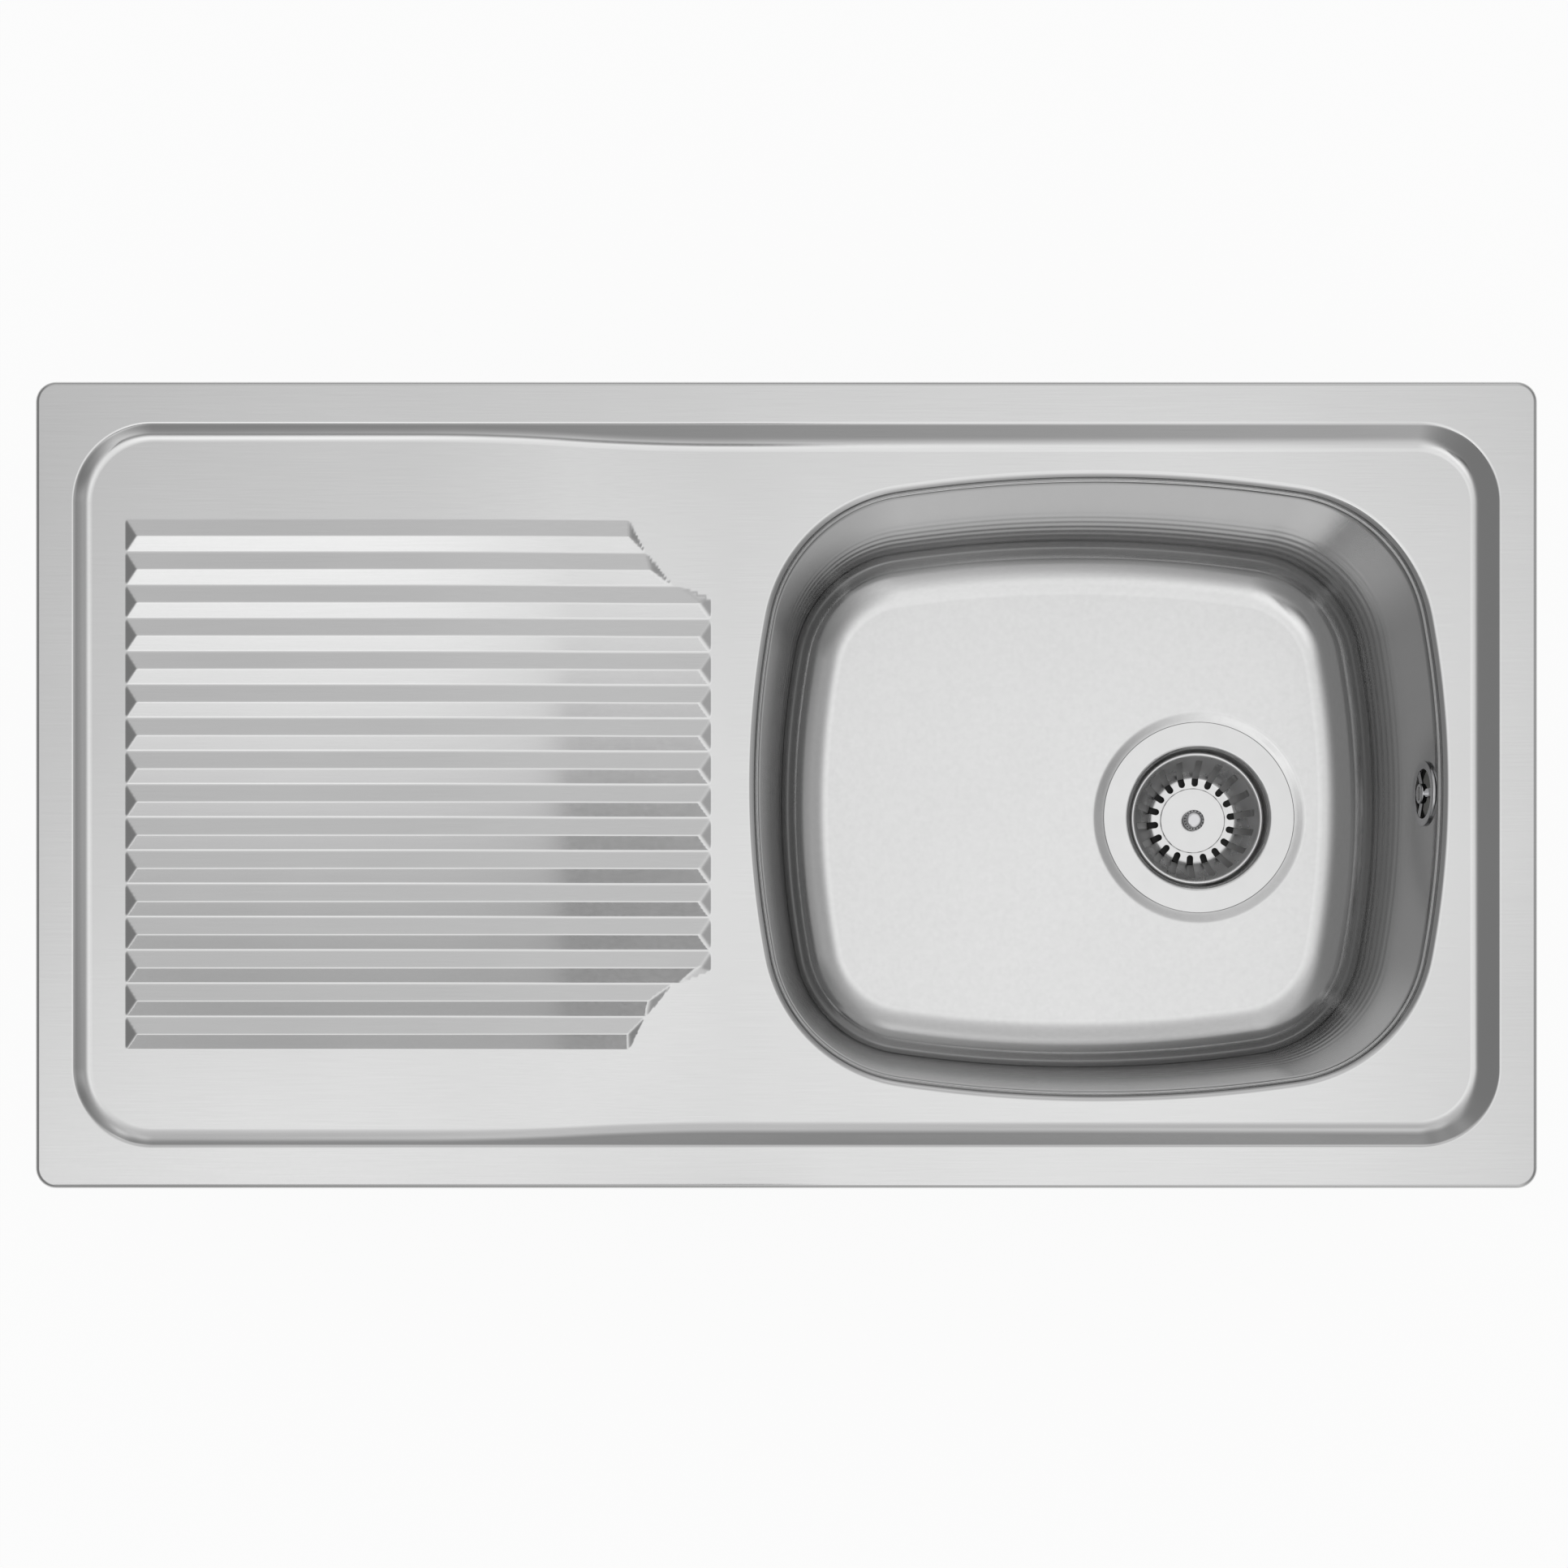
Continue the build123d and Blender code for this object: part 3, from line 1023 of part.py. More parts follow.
# ---------------------------------------------------------------- all pieces
def build_parts():
    """Every piece by its node's name."""
    pieces = {
        "sink_deck": sink_deck(),
        "sink_bowl": sink_bowl(),
        "edge_seal": edge_seal(),
        "sound_pad": sound_pad(),
        "earth_tag": earth_tag(),
        "earth_screw": earth_screw(),
        "earth_nut": earth_nut(),
        "waste_flange": waste_flange(),
        "flange_gasket": flange_gasket(),
        "lower_gasket": lower_gasket(),
        "waste_body": waste_body(),
        "centre_post": centre_post(),
        "strainer_basket": strainer_basket(),
        "strainer_cap": strainer_cap(),
        "strainer_knob": strainer_knob(),
        "strainer_stem": strainer_stem(),
        "strainer_seal": strainer_seal(),
        "strainer_washer": strainer_washer(),
        "strainer_nut": strainer_nut(),
        "strainer_bush": strainer_bush(),
        "overflow_rosette": overflow_rosette(),
        "overflow_screw": overflow_screw(),
        "overflow_gasket": overflow_gasket(),
        "overflow_head": overflow_head(),
        "overflow_hose": overflow_hose(),
        "hose_clamp_upper": hose_clamp(HOSE_CUFF / 2),
        "hose_clamp_lower": hose_clamp(hose_path().length - HOSE_CUFF / 2),
    }
    places = clip_places()
    pieces["clip_anchors"] = Compound(children=[place * clip_anchor() for place in places.values()])
    for name, place in places.items():
        pieces["clip_body_" + name] = place * clip_body()
        pieces["clip_pad_" + name] = place * clip_pad()
        pieces["clip_screw_" + name] = place * clip_screw()
    return pieces


os.makedirs("parts", exist_ok=True)
for node, piece in build_parts().items():
    export_step(piece, f"parts/{node}.step")
    print(f"{node}: {len(piece.solids())} solid(s), {piece.volume:.0f} mm3")
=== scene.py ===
import math

import bpy
import mathutils
import numpy
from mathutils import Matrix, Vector


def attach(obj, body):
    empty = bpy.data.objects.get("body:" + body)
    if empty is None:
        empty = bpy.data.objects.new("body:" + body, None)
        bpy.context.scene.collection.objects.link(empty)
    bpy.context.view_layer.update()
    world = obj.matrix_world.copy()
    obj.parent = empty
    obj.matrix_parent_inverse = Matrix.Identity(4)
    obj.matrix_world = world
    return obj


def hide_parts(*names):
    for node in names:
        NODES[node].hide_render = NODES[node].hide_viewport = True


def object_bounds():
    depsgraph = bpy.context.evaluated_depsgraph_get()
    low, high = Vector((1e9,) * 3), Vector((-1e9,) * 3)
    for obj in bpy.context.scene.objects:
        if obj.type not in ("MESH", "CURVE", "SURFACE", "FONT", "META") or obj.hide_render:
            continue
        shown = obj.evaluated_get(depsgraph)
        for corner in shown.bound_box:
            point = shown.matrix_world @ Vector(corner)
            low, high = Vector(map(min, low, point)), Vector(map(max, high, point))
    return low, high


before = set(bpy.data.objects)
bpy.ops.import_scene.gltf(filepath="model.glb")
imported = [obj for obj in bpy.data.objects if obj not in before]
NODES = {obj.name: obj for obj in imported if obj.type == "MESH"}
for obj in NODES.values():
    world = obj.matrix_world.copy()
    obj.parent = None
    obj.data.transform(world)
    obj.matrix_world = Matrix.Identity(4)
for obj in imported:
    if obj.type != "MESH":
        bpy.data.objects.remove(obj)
CAD_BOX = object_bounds()


# ---------------------------------------------------------------- node helpers
class Graph:
    """A material or world node tree with short calls for the nodes used here."""

    def __init__(self, tree):
        self.tree = tree
        self.tree.nodes.clear()

    def node(self, kind, **settings):
        made = self.tree.nodes.new(kind)
        for key, value in settings.items():
            setattr(made, key, value)
        return made

    def put(self, socket, value):
        if isinstance(value, bpy.types.NodeSocket):
            self.tree.links.new(value, socket)
        else:
            socket.default_value = value

    def math(self, operation, a, b=0.0, clamp=False):
        made = self.node("ShaderNodeMath", operation=operation, use_clamp=clamp)
        for socket, value in zip(made.inputs, (a, b)):
            self.put(socket, value)
        return made.outputs[0]

    def blend(self, *parts):
        """The sum of two values, each times its weight."""
        return self.math("ADD", *[self.math("MULTIPLY", value, weight) for value, weight in parts])

    def split(self, vector):
        """The X, Y and Z of a vector."""
        made = self.node("ShaderNodeSeparateXYZ")
        self.put(made.inputs[0], vector)
        return made.outputs

    def scaled(self, vector, scale):
        made = self.node("ShaderNodeVectorMath", operation="MULTIPLY")
        self.put(made.inputs[0], vector)
        self.put(made.inputs[1], scale)
        return made.outputs[0]

    def noise(self, vector, scale, detail, roughness=0.5):
        made = self.node("ShaderNodeTexNoise")
        self.put(made.inputs["Vector"], vector)
        made.inputs["Scale"].default_value = scale
        made.inputs["Detail"].default_value = detail
        made.inputs["Roughness"].default_value = roughness
        return made.outputs["Fac"]

    def remap(self, value, low, high, new_low, new_high, kind="LINEAR"):
        made = self.node("ShaderNodeMapRange", interpolation_type=kind)
        self.put(made.inputs["Value"], value)
        names = ("From Min", "From Max", "To Min", "To Max")
        for name, number in zip(names, (low, high, new_low, new_high)):
            made.inputs[name].default_value = number
        return made.outputs["Result"]

    def ramp(self, value, stops):
        made = self.node("ShaderNodeValToRGB")
        self.put(made.inputs["Fac"], value)
        elements = made.color_ramp.elements
        while len(elements) < len(stops):
            elements.new(1.0)
        for element, (place, colour) in zip(elements, stops):
            element.position = place
            element.color = (*colour, 1.0)
        return made.outputs["Color"]

    def bump(self, height, strength, distance):
        made = self.node("ShaderNodeBump")
        self.put(made.inputs["Height"], height)
        made.inputs["Strength"].default_value = strength
        made.inputs["Distance"].default_value = distance
        return made.outputs["Normal"]

    def glow(self, level, strength):
        made = self.node("ShaderNodeEmission")
        made.inputs["Color"].default_value = (level, level, level, 1.0)
        made.inputs["Strength"].default_value = strength
        return made.outputs[0]

    def mix(self, share, first, second):
        """The first shader with a share of the second."""
        made = self.node("ShaderNodeMixShader")
        for socket, value in zip(made.inputs, (share, first, second)):
            self.put(socket, value)
        return made.outputs[0]

    def surface(self, shader, kind="ShaderNodeOutputMaterial"):
        self.put(self.node(kind).inputs["Surface"], shader)


def blank_material(name):
    material = bpy.data.materials.new(name)
    material.use_nodes = True
    return material, Graph(material.node_tree)


def new_material(name):
    material, graph = blank_material(name)
    shader = graph.node("ShaderNodeBsdfPrincipled")
    graph.surface(shader.outputs[0])
    position = graph.node("ShaderNodeTexCoord").outputs["Object"]
    return material, graph, shader, position


def grey(level):
    return (level, level, level)


def mottle(colour, darker, lighter):
    """The two ends of a ramp that makes a colour a little darker and lighter."""
    low = tuple(part * darker for part in colour)
    high = tuple(min(1.0, part * lighter) for part in colour)
    return [(0.3, low), (0.7, high)]


# ---------------------------------------------------------------- materials
DRAIN = (0.244, -0.006, 0.0)
CUP_TOP, CUP_DEEP = -0.1535, -0.162     # heights in the waste's cup
RINGS_PER_METRE = 2600.0                # how often turning marks repeat along a radius


def brushed(name, level, rough, grain, grain_height, tint=(1.0, 1.0, 1.0), wear=0.02):
    """Brushed sheet steel. grain is how often the brush lines repeat along X, Y and Z, per metre."""
    material, graph, shader, position = new_material(name)
    lines = graph.noise(graph.scaled(position, grain), 1.0, detail=4.0, roughness=0.62)
    cloud = graph.noise(position, 9.0, detail=5.0, roughness=0.55)
    fine = graph.noise(position, 420.0, detail=2.0)
    low = tuple((level - wear) * part for part in tint)
    high = tuple((level + wear) * part for part in tint)
    mixed = graph.blend((lines, 0.55), (cloud, 0.45))
    colour = graph.ramp(mixed, [(0.32, low), (0.68, high)])
    graph.put(shader.inputs["Base Color"], colour)
    shader.inputs["Metallic"].default_value = 1.0
    spread = graph.blend((cloud, 0.5), (fine, 0.5))
    graph.put(shader.inputs["Roughness"], graph.remap(spread, 0.3, 0.7, rough * 0.88, rough * 1.14))
    graph.put(shader.inputs["Normal"], graph.bump(lines, 1.0, grain_height))
    return material


def turned_metal(name, colour, rough, centre, groove_height=2.0e-6, deep_rough=None):
    """Bright turned or pressed metal with fine rings round a vertical axis at centre.

    deep_rough is the roughness that it reaches at the height CUP_DEEP, starting from CUP_TOP.
    """
    material, graph, shader, position = new_material(name)
    moved = graph.node("ShaderNodeVectorMath", operation="SUBTRACT")
    graph.put(moved.inputs[0], position)
    moved.inputs[1].default_value = centre
    flat = graph.scaled(moved.outputs[0], (1.0, 1.0, 0.0))
    length = graph.node("ShaderNodeVectorMath", operation="LENGTH")
    graph.put(length.inputs[0], flat)
    radius = length.outputs["Value"]
    joined = graph.node("ShaderNodeCombineXYZ")
    graph.put(joined.inputs["X"], graph.math("MULTIPLY", radius, RINGS_PER_METRE))
    rings = graph.noise(joined.outputs[0], 1.0, detail=2.0)
    cloud = graph.noise(position, 60.0, detail=4.0)
    graph.put(shader.inputs["Base Color"], graph.ramp(cloud, mottle(colour, 0.95, 1.04)))
    shader.inputs["Metallic"].default_value = 1.0
    roughness = graph.remap(cloud, 0.3, 0.7, rough * 0.85, rough * 1.2)
    if deep_rough is not None:
        height = graph.split(position)[2]
        depth = graph.remap(height, CUP_TOP, CUP_DEEP, 0.0, deep_rough - rough)
        roughness = graph.math("ADD", roughness, depth)
    graph.put(shader.inputs["Roughness"], roughness)
    graph.put(shader.inputs["Normal"], graph.bump(rings, 1.0, groove_height))
    return material


def moulded(name, colour, rough, grain=900.0, height=2.0e-5, mottled=0.06, metallic=0.0):
    """A moulded or plated skin: slight mottling and a fine texture."""
    material, graph, shader, position = new_material(name)
    cloud = graph.noise(position, 45.0, detail=5.0, roughness=0.6)
    skin = graph.noise(position, grain, detail=2.0)
    colours = graph.ramp(cloud, mottle(colour, 1.0 - mottled, 1.0 + mottled))
    graph.put(shader.inputs["Base Color"], colours)
    shader.inputs["Metallic"].default_value = metallic
    roughness = graph.remap(cloud, 0.3, 0.7, rough * 0.9, min(1.0, rough * 1.12))
    graph.put(shader.inputs["Roughness"], roughness)
    graph.put(shader.inputs["Normal"], graph.bump(skin, 0.6, height))
    return material


CLIPS = [name[len("clip_body_"):] for name in NODES if name.startswith("clip_body_")]

deck_steel = brushed("steel_deck", 0.55, 0.13, (30.0, 2400.0, 2400.0), 2.4e-6)
bowl_steel = brushed("steel_bowl", 0.55, 0.15, (260.0, 260.0, 1400.0), 2.5e-7)
flange_steel = turned_metal("steel_flange", (0.56, 0.56, 0.56), 0.17, DRAIN, deep_rough=0.5)
basket_steel = turned_metal("steel_basket", (0.64, 0.64, 0.64), 0.28, DRAIN)
cap_steel = turned_metal("steel_cap", (0.56, 0.56, 0.56), 0.17, DRAIN)
knob_chrome = turned_metal("chrome_knob", (0.5, 0.5, 0.51), 0.1, DRAIN, 8.0e-7)
rosette_chrome = moulded("chrome_rosette", (0.55, 0.55, 0.56), 0.12, 500.0, 1.0e-6, 0.03, metallic=1.0)
screw_steel = brushed("steel_screw", 0.62, 0.3, (900.0, 900.0, 900.0), 4.0e-6, wear=0.05)
zinc = brushed("zinc_clip", 0.56, 0.38, (500.0, 500.0, 160.0), 8.0e-6, (0.97, 0.99, 1.0), wear=0.06)
brass = turned_metal("brass_post", (0.74, 0.55, 0.26), 0.24, DRAIN)
gasket = moulded("rubber_gasket", grey(0.035), 0.62)
foam = moulded("foam_seal", grey(0.07), 0.85, 1600.0, 1.5e-4, 0.25)
deadener = moulded("bitumen_pad", grey(0.05), 0.75, 700.0, 1.2e-4, 0.2)
white_plastic = moulded("plastic_waste", (0.80, 0.80, 0.78), 0.42)
hose_plastic = moulded("plastic_hose", (0.76, 0.76, 0.74), 0.38)
pad_plastic = moulded("plastic_pad", grey(0.06), 0.5)

for names, look in (
    (["sink_deck"], deck_steel),
    (["sink_bowl"], bowl_steel),
    (["waste_flange"], flange_steel),
    (["strainer_basket"], basket_steel),
    (["strainer_cap", "strainer_washer"], cap_steel),
    (["strainer_knob"], knob_chrome),
    (["overflow_rosette"], rosette_chrome),
    (["earth_screw", "earth_nut", "strainer_stem", "strainer_nut", "overflow_screw"], screw_steel),
    (["hose_clamp_upper", "hose_clamp_lower"], screw_steel),
    (["clip_screw_" + clip for clip in CLIPS], screw_steel),
    (["clip_body_" + clip for clip in CLIPS] + ["clip_anchors", "earth_tag"], zinc),
    (["centre_post"], brass),
    (["clip_pad_" + clip for clip in CLIPS], pad_plastic),
    (["flange_gasket", "lower_gasket", "strainer_seal", "overflow_gasket"], gasket),
    (["edge_seal"], foam),
    (["sound_pad"], deadener),
    (["waste_body", "overflow_head", "strainer_bush"], white_plastic),
    (["overflow_hose"], hose_plastic),
):
    for name in names:
        NODES[name].data.materials.clear()
        NODES[name].data.materials.append(look)


# ---------------------------------------------------------------- smooth shading
def smooth(mesh, degrees):
    """Smooth shading that keeps the creases sharper than an angle."""
    for face in mesh.polygons:
        face.use_smooth = True
    mesh.set_sharp_from_angle(angle=math.radians(degrees))


for node_name in NODES:
    smooth(NODES[node_name].data, 28.0)


# ---------------------------------------------------------------- pressed steel
# Sizes in millimetres, as in the solids; the meshes are made in metres.
MM = 0.001
SHEET = 0.8
RIM_Z = 4.0
DECK_HALF = (405.0, 217.5, 11.0)        # half length, half width, corner
RECESS_HALF = (384.0, 194.5, 42.0)
EDGE_ROUND = 2.5
EDGE_END = 0.4                          # height of the folded edge's lower end
STEP_ROUND, FOOT_ROUND = 3.0, 11.0
STEP_SLOPE = math.radians(45.0)
STEP_TAN = math.tan(STEP_SLOPE / 2)
STEP_COS = math.cos(STEP_SLOPE)
HIGH_Z, LOW_Z = -0.5, -5.0              # the deck before and after its fall
FALL = (-199.9, -29.9)

RIDGES = 16
PITCH, RIDGE_TOP, VALLEY = 17.94, 1.62, -0.09
FIELD_FRONT = 0.6 - 8.0 * PITCH
PEAK = PITCH / 2 - 0.45                 # a crest's distance behind its ridge's foot
FIELD_X = (-357.0, -40.8)
HIP, SKEW_HIP = 5.7, 3.7                # run of the sloped ends, square and skewed
SETBACKS = ((44.5, 35.5), (35.1, 20.6), (16.7, -25.4))  # right ends of the outermost ridges
CREST_BLEND, FOOT_BLEND = 0.216, 0.09
LEFT_BLEND, RIGHT_BLEND, SKEW_BLEND = 0.34, 0.55, 0.5

NEAR = 0.02                             # how far apart a slope is measured, either way
SAME_POINT = 1.0e-7                     # points of the flat regions nearer than this are one
CLEAR_SQUARED = 12.0                    # of the plain deck's extra points from its outlines

BOWL_X, BOWL_HALF = 169.5, (186.0, 167.0)
BOWS, BOWL_CORNER = (500.0, 735.0), 83.0
ROLL, LIP_Z = 4.4, -9.9
LEDGE, DRAFT = 1.6, math.radians(6.0)
FLOOR_Z, FLOOR_ROUND = -151.0, 28.0
# The seam under the lip: inset, drop below the lip and lean in degrees, down to the wall.
SEAM = (
    (-0.1, 0.1, 85.0), (0.0, 0.75, 60.0), (0.25, 0.9, 0.0), (0.45, 0.7, -55.0),
    (0.6, 0.42, -35.0), (0.78, 0.36, 10.0), (0.98, 0.46, 48.0), (1.2, 0.85, 68.0),
    (1.5, 1.9, 76.0), (1.84, 3.6, 81.0),
)
WALL_TOP, WALL_STEP, WALL_ROWS = 5.4, 2.5, 15       # below the lip
FINE_STEP, CORNER_STEPS = 1.6, 30
DRAW_MARKS_FROM = 45.0                  # distance down the wall
DRAW_MARK_PITCH = 9.5
DRAW_MARK_TILT = 0.045                  # radians
OVERFLOW_AT, OVERFLOW_HOLE = (351.5, -2.0, -30.5), 15.6
DRAIN_AT = (244.0, -6.0)
DISH_SLOPE, DISH_SIDES = math.radians(13.0), 96
# The recess round the flange: radius, drop below the floor and share of the slope.
DISH = (
    (63.4, 0.0, 0.0), (62.6, 0.03, 0.3), (61.7, 0.13, 0.8), (60.9, 0.29, 1.0),
    (58.6, 0.82, 1.0), (57.2, 1.1, 0.8), (56.3, 1.24, 0.5), (55.2, 1.32, 0.4),
    (54.4, 1.9, 3.0), (53.6, 2.2, 0.0), (45.0, 2.2, 0.0),
)


def spaced(start, step, count):
    return [start + step * at for at in range(count)]


def rounded_outline(half_x, half_y, corner, xs, ys, steps):
    """Points and outward directions round a rectangle with rounded corners, anticlockwise.

    xs and ys are where the straight sides have points, in rising order.
    """
    reach_x, reach_y = half_x - corner, half_y - corner
    xs = [x for x in xs if -reach_x < x < reach_x]
    ys = [y for y in ys if -reach_y < y < reach_y]
    points = [((half_x, y), (1.0, 0.0)) for y in ys]
    sides = (
        [((x, half_y), (0.0, 1.0)) for x in reversed(xs)],
        [((-half_x, y), (-1.0, 0.0)) for y in reversed(ys)],
        [((x, -half_y), (0.0, -1.0)) for x in xs],
    )
    centres = [(reach_x, reach_y), (-reach_x, reach_y), (-reach_x, -reach_y), (reach_x, -reach_y)]
    for quarter, (cx, cy) in enumerate(centres):
        for step in range(steps + 1):
            angle = math.pi / 2 * (quarter + step / steps)
            out = (math.cos(angle), math.sin(angle))
            points.append(((cx + corner * out[0], cy + corner * out[1]), out))
        if quarter < len(sides):
            points += sides[quarter]
    return points


def bowl_outline(end_steps=40, corner_steps=26, side_steps=44):
    """Points and outward directions round the bowl's bowed outline, anticlockwise."""
    end = Vector((BOWL_HALF[0] - BOWS[0], 0.0))
    side = Vector((0.0, BOWL_HALF[1] - BOWS[1]))
    end_reach, side_reach = BOWS[0] - BOWL_CORNER, BOWS[1] - BOWL_CORNER
    between = side - end
    along = (end_reach**2 - side_reach**2 + between.length**2) / (2.0 * between.length)
    across = math.sqrt(end_reach**2 - along**2)
    unit = between.normalized()
    corner = end + unit * along + Vector((unit.y, -unit.x)) * across
    if corner.x < 0.0:
        corner = end + unit * along - Vector((unit.y, -unit.x)) * across
    to_end, to_side = (corner - end).normalized(), (corner - side).normalized()
    end_angle = math.atan2(to_end.y, to_end.x)
    side_angle = math.atan2(to_side.y, to_side.x)
    quarter = []
    for step in range(end_steps):
        quarter.append((end, BOWS[0], end_angle * step / end_steps))
    for step in range(corner_steps):
        turned = (side_angle - end_angle) * step / corner_steps
        quarter.append((corner, BOWL_CORNER, end_angle + turned))
    for step in range(side_steps):
        turned = (math.pi / 2 - side_angle) * step / side_steps
        quarter.append((side, BOWS[1], side_angle + turned))
    right = []
    for centre, radius, angle in quarter:
        out = (math.cos(angle), math.sin(angle))
        right.append(((centre.x + radius * out[0], centre.y + radius * out[1]), out))
    top = ((0.0, BOWL_HALF[1]), (0.0, 1.0))
    left = [((-p[0], p[1]), (-n[0], n[1])) for p, n in reversed(right)]
    back = (right + [top] + left)[:-1]
    front = [((-p[0], -p[1]), (-n[0], -n[1])) for p, n in back]
    return [((p[0] + BOWL_X, p[1]), n) for p, n in back + front]


def fall_height(x):
    """Height and slope of the deck's surface at x, without ridges."""
    start, stop = FALL
    if x <= start:
        return HIGH_Z, 0.0
    if x >= stop:
        return LOW_Z, 0.0
    half_run, half_drop = (stop - start) / 2, (HIGH_Z - LOW_Z) / 2
    radius = (half_run**2 + half_drop**2) / (2.0 * half_drop)
    if x <= (start + stop) / 2:
        rise = math.sqrt(radius**2 - (x - start) ** 2)
        return HIGH_Z - radius + rise, -(x - start) / rise
    rise = math.sqrt(radius**2 - (x - stop) ** 2)
    return LOW_Z + radius - rise, (x - stop) / rise


def softer(a, b, blend):
    """The lower of a and b, with a rounded crease."""
    near = max(blend - abs(a - b), 0.0) / blend
    return min(a, b) - near * near * blend / 4.0


def ridge_height(x, y):
    """Height of the ridges over the drainboard."""
    across = y - FIELD_FRONT
    order = int(across // PITCH)
    if not 0 <= order < RIDGES:
        return 0.0
    inside = across - order * PITCH
    aim = RIDGE_TOP + CREST_BLEND / 4.0 - VALLEY
    rising, falling = aim * inside / PEAK, aim * (PITCH - inside) / (PITCH - PEAK)
    tooth = VALLEY + softer(rising, falling, CREST_BLEND)
    left = (x - FIELD_X[0]) * RIDGE_TOP / HIP
    right = (FIELD_X[1] - x) * RIDGE_TOP / HIP
    level = softer(softer(tooth, left, LEFT_BLEND), right, RIGHT_BLEND)
    outermost = min(order, RIDGES - 1 - order)
    if outermost < len(SETBACKS):
        outer, inner = SETBACKS[outermost]
        share = inside / PITCH if order < RIDGES // 2 else 1.0 - inside / PITCH
        foot = FIELD_X[1] - (outer + (inner - outer) * share)
        lean = math.cos(math.atan2(outer - inner, PITCH))
        level = softer(level, (foot - x) * lean * RIDGE_TOP / SKEW_HIP, SKEW_BLEND)
    return -softer(-level, 0.0, FOOT_BLEND)


class Skin:
    """A sheet's outer face, gathered as points with directions, and its faces."""

    def __init__(self):
        self.points, self.outs, self.faces = [], [], []

    def add(self, x, y, z, out):
        length = math.sqrt(out[0] ** 2 + out[1] ** 2 + out[2] ** 2)
        self.points.append((x, y, z))
        self.outs.append((out[0] / length, out[1] / length, out[2] / length))
        return len(self.points) - 1

    def row(self, outline, inset, height, side, up):
        """A row of points inside an outline, whose directions lean outward by side and up."""
        made = []
        for (x, y), (out_x, out_y) in outline:
            out = (out_x * side, out_y * side, up)
            made.append(self.add(x - out_x * inset, y - out_y * inset, height, out))
        return made

    def strips(self, rows):
        """Faces between closed rows of as many points each."""
        for low, high in zip(rows, rows[1:]):
            for at in range(len(low)):
                after = (at + 1) % len(low)
                self.faces.append((low[at], low[after], high[after], high[at]))

    def fill(self, outer, holes, extra=()):
        """Faces of the region inside the outer row, round the holes, through extra points."""
        rows = [outer, *holes]
        index = [at for row in rows for at in row] + list(extra)
        flat = [Vector(self.points[at][:2]) for at in index]
        edges, start = [], 0
        for row in rows:
            edges += [(start + at, start + (at + 1) % len(row)) for at in range(len(row))]
            start += len(row)
        made = mathutils.geometry.delaunay_2d_cdt(flat, edges, [], 0, SAME_POINT)
        places, _, triangles, origins = made[:4]
        keep = [index[origin[0]] for origin in origins]
        spots = numpy.array([[place[0], place[1]] for place in places])
        middles = spots[numpy.array(triangles)].mean(axis=1)
        outlines = [[self.points[at][:2] for at in row] for row in rows]
        wanted = within(middles, outlines[0])
        for hole in outlines[1:]:
            wanted &= ~within(middles, hole)
        for triangle, inside in zip(triangles, wanted):
            if inside:
                self.faces.append(tuple(keep[at] for at in triangle))


def within(spots, outline):
    """Which of the spots lie inside a closed outline."""
    inside = numpy.zeros(len(spots), dtype=bool)
    x, y = spots[:, 0], spots[:, 1]
    last_x, last_y = outline[-1]
    for next_x, next_y in outline:
        if next_y != last_y:
            crosses = (next_y > y) != (last_y > y)
            inside ^= crosses & (x < (last_x - next_x) * (y - next_y) / (last_y - next_y) + next_x)
        last_x, last_y = next_x, next_y
    return inside


def modelled(name, points, faces, material):
    mesh = bpy.data.meshes.new(name)
    mesh.from_pydata(points, [], faces)
    mesh.update()
    mesh.materials.append(material)
    piece = bpy.data.objects.new(name, mesh)
    bpy.context.scene.collection.objects.link(piece)
    return piece


def sheet_piece(name, skin, ends, material, node):
    """A steel sheet from its outer face: the inner face lies a sheet's thickness behind it."""
    count = len(skin.points)
    points = [tuple(value * MM for value in point) for point in skin.points]
    normals = list(skin.outs)
    for point, out in zip(skin.points, skin.outs):
        points.append(tuple((point[axis] - out[axis] * SHEET) * MM for axis in range(3)))
        normals.append(tuple(-value for value in out))
    faces = list(skin.faces)
    faces += [tuple(at + count for at in reversed(face)) for face in skin.faces]
    for row, turned in ends:
        for at in range(len(row)):
            after = (at + 1) % len(row)
            face = (row[at], row[at] + count, row[after] + count, row[after])
            faces.append(face[::-1] if turned else face)
    piece = modelled(name, points, faces, material)
    for face in piece.data.polygons:
        face.use_smooth = True
    piece.data.normals_split_custom_set_from_vertices(normals)
    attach(piece, "sink")
    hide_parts(node)


